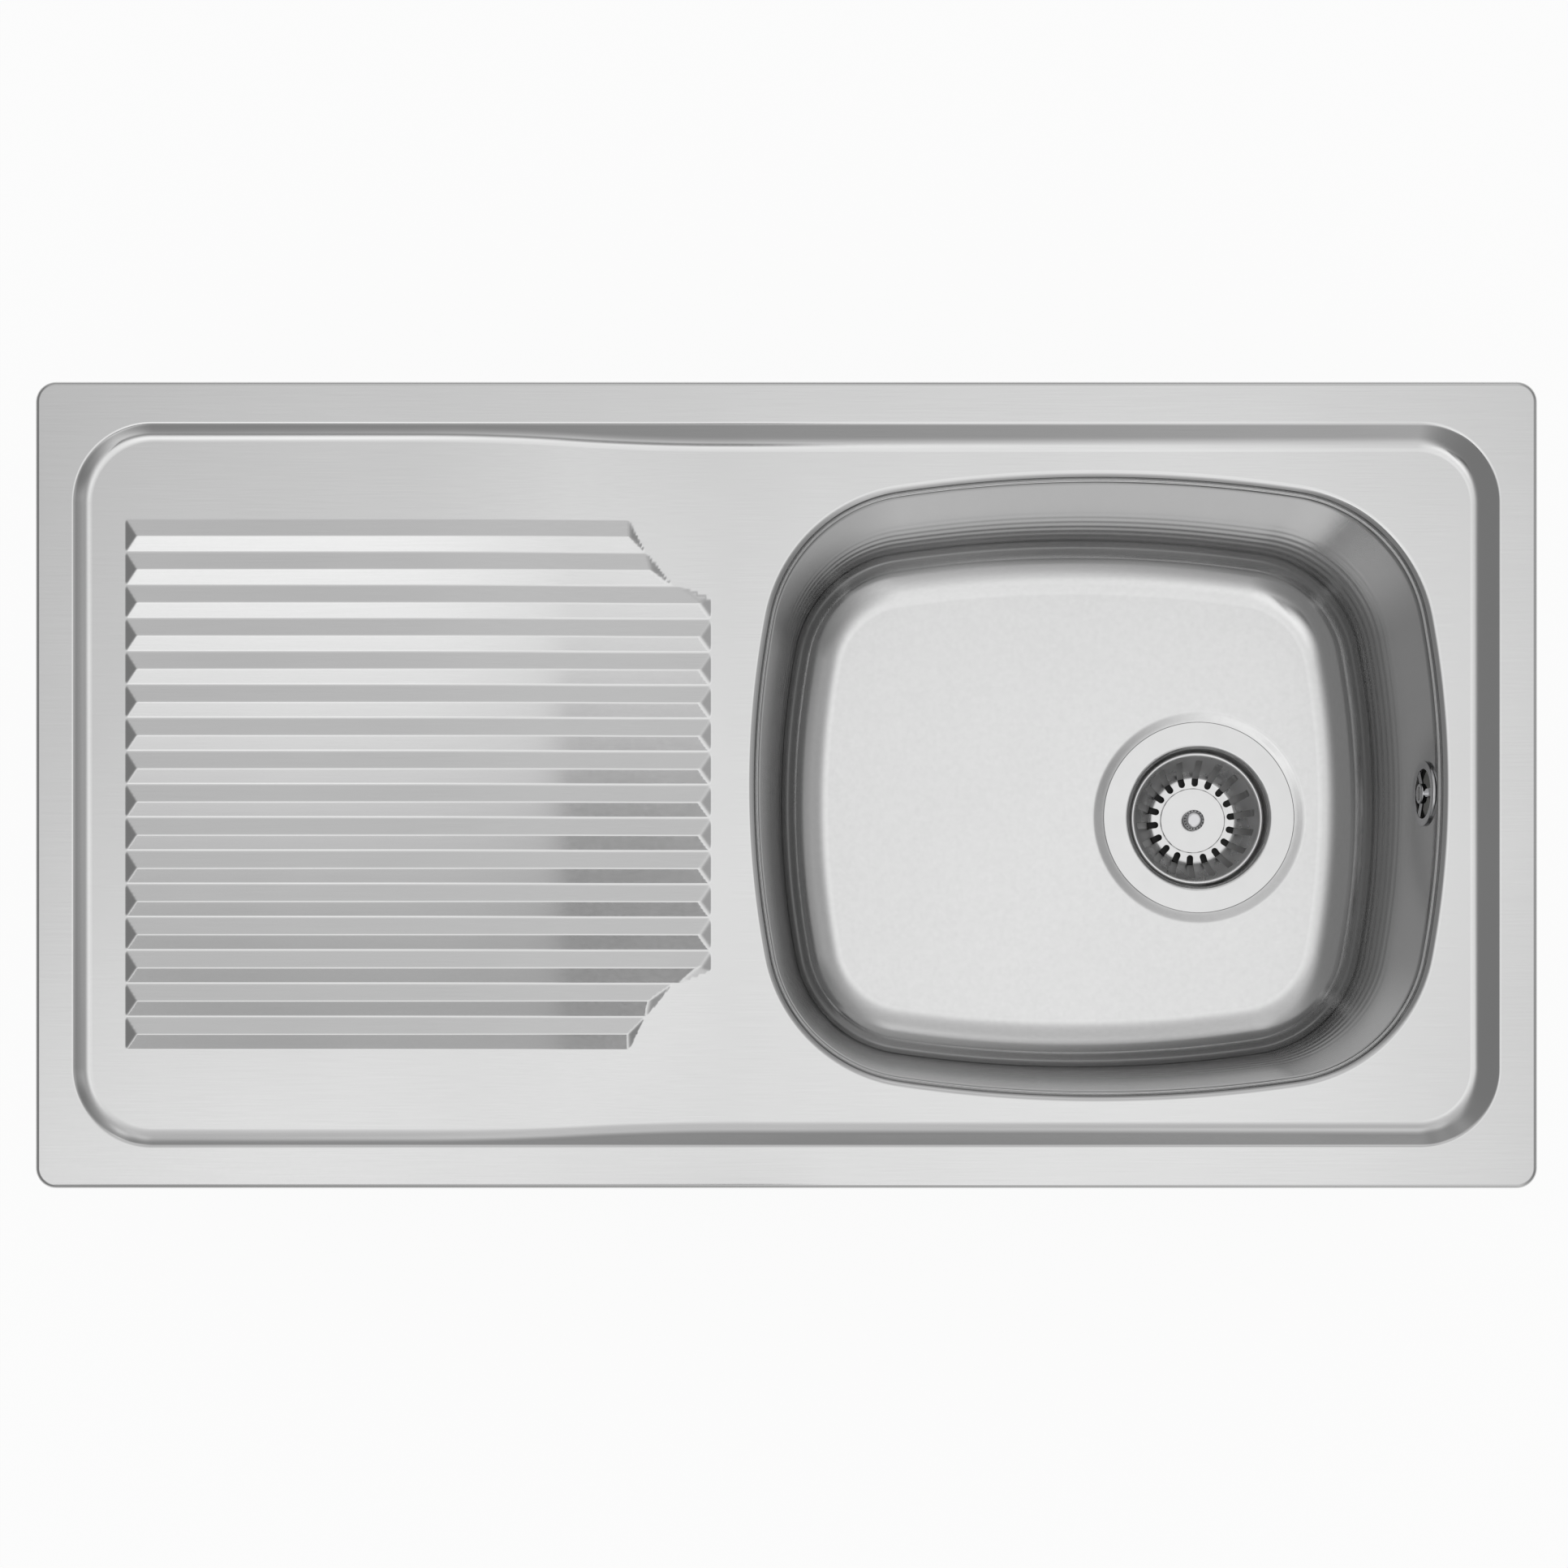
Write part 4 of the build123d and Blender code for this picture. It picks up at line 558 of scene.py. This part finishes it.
def ridge_grid(skin):
    """The ridges, on a grid that is close where they end and at their crests and valleys."""
    columns = spaced(FIELD_X[0] - 1.2, 0.55, 18)
    columns += spaced(columns[-1] + 4.0, 6.0, 43)
    columns = [x for x in columns if x < FIELD_X[1] - 50.0]
    columns += spaced(FIELD_X[1] - 48.0, 1.1, 37)
    columns += spaced(FIELD_X[1] - 7.5, 0.5, 19)
    offsets = [0.0, 0.3, 0.6, 1.0, 2.4, 4.2, 6.0, 7.4]
    offsets += [PEAK - 0.5, PEAK - 0.2, PEAK + 0.1, PEAK + 0.5]
    offsets += [10.0, 12.0, 14.0, 15.8, PITCH - 0.95, PITCH - 0.6, PITCH - 0.3]
    lines = [FIELD_FRONT - 0.8, FIELD_FRONT - 0.3]
    for order in range(RIDGES):
        lines += [FIELD_FRONT + order * PITCH + offset for offset in offsets]
    lines += [FIELD_FRONT + RIDGES * PITCH + offset for offset in (0.0, 0.3, 0.8)]
    grid = []
    for y in lines:
        row = []
        for x in columns:
            level, slope = fall_height(x)
            ahead, behind = ridge_height(x + NEAR, y), ridge_height(x - NEAR, y)
            along = (ahead - behind) / (2.0 * NEAR) + slope
            ahead, behind = ridge_height(x, y + NEAR), ridge_height(x, y - NEAR)
            across = (ahead - behind) / (2.0 * NEAR)
            row.append(skin.add(x, y, level + ridge_height(x, y), (-along, -across, 1.0)))
        grid.append(row)
    for low, high in zip(grid, grid[1:]):
        for at in range(len(columns) - 1):
            skin.faces.append((low[at], low[at + 1], high[at + 1], high[at]))
    edge = list(grid[0])
    edge += [row[-1] for row in grid[1:]]
    edge += list(reversed(grid[-1][:-1]))
    edge += [row[0] for row in reversed(grid[1:-1])]
    return edge


def deck_sheet():
    """The pressed deck: folded edge, rim, step, ridged drainboard and rolled bowl edge."""
    skin = Skin()
    xs, ys = spaced(-396.0, 6.0, 133), spaced(-208.0, 8.0, 53)
    outline = rounded_outline(*DECK_HALF, xs, ys, 12)
    rim = [skin.row(outline, 0.0, height, 1.0, 0.0) for height in (EDGE_END, RIM_Z - EDGE_ROUND)]
    for step in range(1, 9):
        angle = math.pi / 2 * step / 8
        side, up = math.cos(angle), math.sin(angle)
        height = RIM_Z - EDGE_ROUND * (1.0 - up)
        rim.append(skin.row(outline, EDGE_ROUND * (1.0 - side), height, side, up))
    skin.strips(rim)

    outline = rounded_outline(*RECESS_HALF, xs, ys, 28)
    border = []
    for step in range(7):
        angle = STEP_SLOPE * step / 6
        side, up = math.sin(angle), math.cos(angle)
        inset = -STEP_ROUND * STEP_TAN + STEP_ROUND * side
        height = RIM_Z - STEP_ROUND * (1.0 - up)
        border.append(skin.row(outline, inset, height, -side, up))
    for step in range(11):
        angle = STEP_SLOPE * (1.0 - step / 10)
        side, up = math.sin(angle), math.cos(angle)
        row = []
        for (x, y), (out_x, out_y) in outline:
            level, slope = fall_height(x)
            inset = RIM_Z - level + FOOT_ROUND * STEP_TAN - FOOT_ROUND * side
            height = level + FOOT_ROUND * (1.0 - up)
            tilt = slope * max(0.0, (up - STEP_COS) / (1.0 - STEP_COS))
            out = (out_x * -side - tilt, out_y * -side, up)
            row.append(skin.add(x - out_x * inset, y - out_y * inset, height, out))
        border.append(row)
    skin.strips(border)
    skin.fill(rim[-1], [border[0]])
    ridges = ridge_grid(skin)

    # The rolled edge round the bowl.
    outline = bowl_outline()
    roll = []
    for step in range(11):
        angle = math.pi / 2 * step / 10
        side, up = math.sin(angle), math.cos(angle)
        inset, height = -ROLL * (1.0 - side), LOW_Z - ROLL * (1.0 - up)
        roll.append(skin.row(outline, inset, height, -side, up))
    roll.append(skin.row(outline, 0.0, LIP_Z, -1.0, 0.0))
    skin.strips(roll)

    # The plain deck between them follows the fall.
    loops = [[skin.points[at][:2] for at in row] for row in (border[-1], ridges, roll[0])]
    spots = [(x, y) for x in spaced(-370.0, 11.0, 68) for y in spaced(-182.0, 11.0, 34)]
    spots = numpy.array(spots)
    wanted = within(spots, loops[0]) & ~within(spots, loops[1]) & ~within(spots, loops[2])
    for loop in loops:
        for corner in loop:
            wanted &= ((spots - numpy.array(corner)) ** 2).sum(axis=1) > CLEAR_SQUARED
    extra = []
    for x, y in spots[wanted]:
        level, slope = fall_height(x)
        extra.append(skin.add(float(x), float(y), level, (-slope, 0.0, 1.0)))
    skin.fill(border[-1], [ridges, roll[0]], extra)
    ends = [(rim[0], False), (roll[-1], True)]
    sheet_piece("pressed_deck", skin, ends, deck_steel, "sink_deck")


def wall_profile():
    """Inset, height and lean of the wall's and the floor corner's rows, and the way down to each."""
    centre_z = FLOOR_Z + FLOOR_ROUND
    centre_inset = LEDGE + (LIP_Z - centre_z) * math.tan(DRAFT) + FLOOR_ROUND / math.cos(DRAFT)
    wall_end = centre_z - FLOOR_ROUND * math.sin(DRAFT)
    heights = spaced(LIP_Z - WALL_TOP, -WALL_STEP, WALL_ROWS)
    last = heights[-1]
    fine_rows = math.ceil((last - wall_end) / FINE_STEP)
    heights += [last + (wall_end - last) * step / fine_rows for step in range(1, fine_rows)]
    rows = [(LEDGE + (LIP_Z - height) * math.tan(DRAFT), height, DRAFT) for height in heights]
    for step in range(CORNER_STEPS + 1):
        angle = DRAFT + (math.pi / 2 - DRAFT) * step / CORNER_STEPS
        inset = centre_inset - FLOOR_ROUND * math.cos(angle)
        rows.append((inset, centre_z - FLOOR_ROUND * math.sin(angle), angle))
    run = [0.0]
    for (inset, height, _), (next_inset, next_height, _) in zip(rows, rows[1:]):
        run.append(run[-1] + math.hypot(next_inset - inset, next_height - height))
    return rows, run


def bowl_sheet():
    """The drawn bowl: seam, drafted walls, round floor corners and the waste's recess."""
    skin = Skin()
    outline = bowl_outline()

    # The seam under the deck's lip: a narrow groove, then a steep shoulder into the wall.
    wall = [skin.row(outline, inset, LIP_Z, 0.0, 1.0) for inset in (-SHEET, -0.15)]
    for inset, drop, lean in SEAM:
        lean = math.radians(lean)
        wall.append(skin.row(outline, inset, LIP_Z - drop, -math.sin(lean), math.cos(lean)))

    # Drawing leaves faint waves round the lower wall and the floor corner.
    profile, run = wall_profile()
    for (inset, height, angle), along in zip(profile, run):
        share = (along - DRAW_MARKS_FROM) / (run[-1] - DRAW_MARKS_FROM)
        strength = math.sin(math.pi * share) if 0.0 < share < 1.0 else 0.0
        phase = 2.0 * math.pi * along / DRAW_MARK_PITCH
        out = DRAW_MARK_TILT * DRAW_MARK_PITCH / (2.0 * math.pi) * strength * math.sin(phase)
        tilted = angle + DRAW_MARK_TILT * strength * math.cos(phase)
        inset, height = inset + out * math.cos(angle), height + out * math.sin(angle)
        wall.append(skin.row(outline, inset, height, -math.cos(tilted), math.sin(tilted)))
    skin.strips(wall)

    # The overflow's hole, whose edge the rosette's ring covers.
    centre = Vector(OVERFLOW_AT)
    kept = []
    for face in skin.faces:
        middle = sum((Vector(skin.points[corner]) for corner in face), Vector()) / len(face)
        if (middle - centre).length > OVERFLOW_HOLE:
            kept.append(face)
    skin.faces = kept

    # Each point of the recess's rows lies in its direction from the drain's centre.
    angles = [2.0 * math.pi * step / DISH_SIDES for step in range(DISH_SIDES)]
    outline = [(DRAIN_AT, (math.cos(angle), math.sin(angle))) for angle in angles]
    dish = []
    for radius, drop, share in DISH:
        side, up = math.sin(DISH_SLOPE * share), math.cos(DISH_SLOPE * share)
        dish.append(skin.row(outline, -radius, FLOOR_Z - drop, -side, up))
    skin.strips(dish)
    skin.fill(wall[-1], [dish[0]])
    ends = [(wall[0], False), (dish[-1], True)]
    sheet_piece("drawn_bowl", skin, ends, bowl_steel, "sink_bowl")


deck_sheet()
bowl_sheet()


# ---------------------------------------------------------------- soft pieces
def lofted(loops, ring=False):
    """Points and faces of a skin through loops of as many points each."""
    count = len(loops[0])
    points = [point for loop in loops for point in loop]
    last = len(loops) if ring else len(loops) - 1
    faces = []
    for row in range(last):
        low, high = row * count, (row + 1) % len(loops) * count
        for at in range(count):
            after = (at + 1) % count
            faces.append((low + at, low + after, high + after, high + at))
    return points, faces


def soft_piece(name, points, faces, material, node, degrees=40.0):
    """A modelled piece that stands for a soft CAD node."""
    piece = modelled(name, points, faces, material)
    smooth(piece.data, degrees)
    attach(piece, "sink")
    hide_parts(node)
    return piece


def rounded_loop(size, tuck, z, steps=8):
    """A rectangle with rounded corners round the origin, seen from above anticlockwise.

    size is its length, width and corner, which tuck takes in all round.
    """
    length, width, corner = size[0] - 2 * tuck, size[1] - 2 * tuck, size[2] - tuck
    loop = []
    for quarter, (side_x, side_y) in enumerate(((1, 1), (-1, 1), (-1, -1), (1, -1))):
        x, y = side_x * (length / 2 - corner), side_y * (width / 2 - corner)
        for step in range(steps + 1):
            angle = math.radians(90.0 * (quarter + step / steps))
            loop.append((x + corner * math.cos(angle), y + corner * math.sin(angle), z))
    return loop


def foam_ring():
    """The foam seal under the rim, squeezed so that its sides bulge."""
    height = 0.0032
    outside, inside = (0.8044, 0.4294, 0.0082), (0.790, 0.415, 0.001)
    sides = [(0.0, 0.0009), (0.08, 0.0004), (0.25, 0.0001), (0.5, 0.0)]
    sides += [(0.75, 0.0001), (0.92, 0.0004), (1.0, 0.0009)]
    loops = [rounded_loop(outside, tuck, height * up) for up, tuck in sides]
    loops += [rounded_loop(inside, -tuck, height * up) for up, tuck in reversed(sides)]
    points, faces = lofted(loops, ring=True)
    piece = soft_piece("rim_seal", points, faces, foam, "edge_seal")


def deadening_pad():
    """The sound-deadening pad under the bowl, with soft pressed edges."""
    middle, top, bottom = 0.111, -0.1518, -0.1538
    size = (0.118, 0.190, 0.014)
    edges = [(top, 0.0002), (top - 0.0004, 0.0), (top - 0.0011, 0.0001), (top - 0.0016, 0.0004)]
    edges += [(bottom + 0.0001, 0.001), (bottom, 0.0019)]
    loops = [rounded_loop(size, tuck, z) for z, tuck in edges]
    loops = [[(x + middle, y, z) for x, y, z in loop] for loop in loops]
    points, faces = lofted(loops)
    count = len(loops[0])
    faces.append(tuple(range(count - 1, -1, -1)))
    faces.append(tuple(range(len(points) - count, len(points))))
    soft_piece("deadening_pad", points, faces, deadener, "sound_pad", 60.0)


def overflow_pipe():
    """The corrugated overflow hose: plain cuffs, round ribs, one bend and an open bore."""
    turn = math.radians(1.9094)
    reach, top, low = 0.1200529, -0.05347387, -0.1785
    bend, end = 0.0460529, 0.0545
    drop = top - (low + bend)
    arc = bend * math.pi / 2
    total = drop + arc + (reach - bend - end)
    bore, wall, rib, cuff = 0.00855, 0.00975, 0.002, 0.01055
    cuff_length, pitch, ribs = 0.016, 0.0044, 31
    cuff_round, groove = 0.0006, 0.0001
    first = cuff_length + (total - 2 * cuff_length - (ribs - 1) * pitch) / 2
    foot, crest = 0.00167, 0.0006
    outer_rows, inner_rows = 760, 48
    drain = Vector(DRAIN)
    forward = Vector((math.cos(turn), math.sin(turn), 0.0))
    across = Vector((-math.sin(turn), math.cos(turn), 0.0))
    up = Vector((0.0, 0.0, 1.0))

    def place(distance):
        """Point and outward direction on the hose's centre line."""
        if distance <= drop:
            point, outward = (reach, top - distance), (1.0, 0.0)
        elif distance <= drop + arc:
            angle = (distance - drop) / bend
            point = (reach - bend + bend * math.cos(angle), low + bend - bend * math.sin(angle))
            outward = (math.cos(angle), -math.sin(angle))
        else:
            point, outward = (reach - bend - (distance - drop - arc), low), (0.0, -1.0)
        centre = drain + forward * point[0] + up * point[1]
        return centre, forward * outward[0] + up * outward[1]

    def radius(distance):
        """Outside radius of the hose."""
        edge = min(distance, total - distance)
        if edge < cuff_length:
            rounding = max(0.0, cuff_round - edge) / cuff_round
            near = max(0.0, edge - (cuff_length - cuff_round)) / cuff_round
            tuck = cuff_round * (1.0 - math.sqrt(max(0.0, 1.0 - rounding**2)))
            return cuff - tuck - (cuff - wall) * near**2
        nearest = first + min(ribs - 1, max(0, round((distance - first) / pitch))) * pitch
        away = abs(distance - nearest)
        rise = min(1.0, max(0.0, (foot - away) / (foot - crest)))
        dip = groove * max(0.0, crest - away) / crest
        return wall + rib * rise * rise * (3.0 - 2.0 * rise) - dip

    def ring_at(distance, size, sides=56):
        centre, outward = place(distance)
        loop = []
        for side in range(sides):
            angle = 2.0 * math.pi * side / sides
            point = centre + outward * (size * math.cos(angle))
            loop.append(tuple(point + across * (size * math.sin(angle))))
        return loop

    loops = []
    for row in range(outer_rows + 1):
        distance = row * total / outer_rows
        loops.append(ring_at(distance, radius(distance)))
    loops += [ring_at(total - row * total / inner_rows, bore) for row in range(inner_rows + 1)]
    points, faces = lofted(loops, ring=True)
    soft_piece("overflow_pipe", points, faces, hose_plastic, "overflow_hose", 50.0)


foam_ring()
deadening_pad()
overflow_pipe()


# ---------------------------------------------------------------- floor
FLOOR_GAP, FLOOR_SIZE = 0.012, 24.0
FLOOR_LEVEL, FLOOR_WHITE = 0.9, 0.93    # its own colour, and how white the background shows


def floor():
    """A plain white floor under the sink, white as the photograph's background."""
    low = CAD_BOX[0][2] - FLOOR_GAP
    bpy.ops.mesh.primitive_plane_add(size=FLOOR_SIZE, location=(0.0, 0.0, low))
    plane = bpy.context.object
    plane.name = "studio_floor"
    material, graph = blank_material("studio_floor")
    diffuse = graph.node("ShaderNodeBsdfDiffuse")
    diffuse.inputs["Color"].default_value = (*grey(FLOOR_LEVEL), 1.0)
    path = graph.node("ShaderNodeLightPath")
    seen = graph.math("ADD", path.outputs["Is Camera Ray"], path.outputs["Is Glossy Ray"])
    seen = graph.math("ADD", seen, path.outputs["Is Transmission Ray"], clamp=True)
    share = graph.math("MULTIPLY", seen, FLOOR_WHITE)
    graph.surface(graph.mix(share, diffuse.outputs[0], graph.glow(1.0, 1.0)))
    plane.data.materials.append(material)


floor()


# ---------------------------------------------------------------- light
# Soft patches of light overhead, in rows from the front to the back. Each row is the direction Y of
# its middle, the width of its patches, and the direction X and strength of each patch.
PATCH_ROWS = (
    (-0.9, 0.25, ((-0.3, 0.034), (0.1, 0.156), (0.4, 0.331))),
    (-0.65, 0.2, ((0.05, 0.381), (0.3, 0.372), (0.6, 0.146))),
    (-0.4, 0.18, (
        (-0.25, 0.684), (-0.05, 0.715), (0.15, 0.47), (0.4, 0.192), (0.7, 0.075))),
    (-0.15, 0.18, ((-0.22, 0.948), (-0.03, 0.293), (0.15, 0.576), (0.35, 0.261))),
    (0.1, 0.18, (
        (-0.22, 0.386), (-0.03, 0.366), (0.15, 0.69), (0.35, 0.181), (0.65, 0.261), (0.9, 0.144))),
    (0.35, 0.18, ((-0.25, 0.361), (0.0, 0.355), (0.25, 0.381), (0.5, 0.137))),
    (0.6, 0.18, ((-0.6, 0.032), (-0.3, 0.344), (0.0, 0.44), (0.3, 0.255), (0.6, 0.108))),
    (0.82, 0.15, ((-0.4, 0.187), (-0.1, 0.489), (0.2, 0.614), (0.45, 0.15))),
)
ROOM_LEVEL = 0.307


def studio():
    """A soft room: an even pale level all round, with brighter patches overhead."""
    world = bpy.data.worlds.new("studio")
    bpy.context.scene.world = world
    world.use_nodes = True
    graph = Graph(world.node_tree)
    x, y, z = graph.split(graph.node("ShaderNodeTexCoord").outputs["Generated"])

    def peak(value, centre, width):
        away = graph.math("DIVIDE", graph.math("SUBTRACT", value, centre), width)
        fall = graph.math("MULTIPLY", graph.math("MULTIPLY", away, away), -1.0)
        return graph.math("POWER", math.e, fall)

    total = 0.0
    for row_y, width, patches in PATCH_ROWS:
        along = peak(y, row_y, width)
        line = 0.0
        for patch_x, gain in patches:
            line = graph.math("ADD", line, graph.math("MULTIPLY", peak(x, patch_x, width), gain))
        total = graph.math("ADD", total, graph.math("MULTIPLY", along, line))
    above = graph.math("GREATER_THAN", z, 0.0)
    level = graph.math("ADD", graph.math("MULTIPLY", total, above), ROOM_LEVEL)
    shade = graph.node("ShaderNodeBackground")
    shade.inputs["Color"].default_value = (1.0, 1.0, 1.0, 1.0)
    graph.put(shade.inputs["Strength"], level)
    graph.surface(shade.outputs[0], "ShaderNodeOutputWorld")


studio()


def card(name, centre, half, soft, cover):
    """A dark card over the front of the sink, which only the steel's reflections show.

    soft is where its edges begin to fade along X and Y, as a share of its half size.
    """
    bpy.ops.mesh.primitive_plane_add(size=1.0, location=centre)
    plane = bpy.context.object
    plane.name = name
    plane.scale = (2.0 * half[0], 2.0 * half[1], 1.0)
    material, graph = blank_material(name)
    x, y, _ = graph.split(graph.node("ShaderNodeTexCoord").outputs["Object"])

    def soft_edge(value, edge):
        away = graph.math("MULTIPLY", graph.math("ABSOLUTE", value), 2.0)
        return graph.remap(away, edge, 1.0, 1.0, 0.0, "SMOOTHSTEP")

    shade = graph.math("MULTIPLY", soft_edge(x, soft[0]), soft_edge(y, soft[1]))
    shade = graph.math("MULTIPLY", shade, cover)
    clear = graph.node("ShaderNodeBsdfTransparent")
    graph.surface(graph.mix(shade, clear.outputs[0], graph.glow(0.0, 0.0)))
    plane.data.materials.append(material)
    plane.visible_camera = False
    plane.visible_diffuse = False
    plane.visible_shadow = False


card("studio_card_narrow", (-0.035, -0.70, 1.6), (0.075, 0.46), (0.3, 0.2), 0.85)
card("studio_card_wide", (-0.46, -0.80, 1.62), (0.46, 0.55), (0.7, 0.0), 0.6)


# ---------------------------------------------------------------- camera
SENSOR, LENS = 36.0, 68.17              # millimetres
SHIFT_UP = 0.1625
EYE = (-0.0013, -0.1369, 1.604)


def camera():
    """Straight above the sink, its axis a little in front of the centre, as in the photograph."""
    lens = bpy.data.cameras.new("camera")
    lens.sensor_width = SENSOR
    lens.lens = LENS
    lens.shift_y = SHIFT_UP
    lens.clip_start = 0.05
    lens.clip_end = 60.0
    eye = bpy.data.objects.new("camera", lens)
    bpy.context.scene.collection.objects.link(eye)
    eye.location = EYE
    bpy.context.scene.camera = eye


camera()
bpy.context.scene.view_settings.view_transform = "Standard"

bpy.context.view_layer.update()
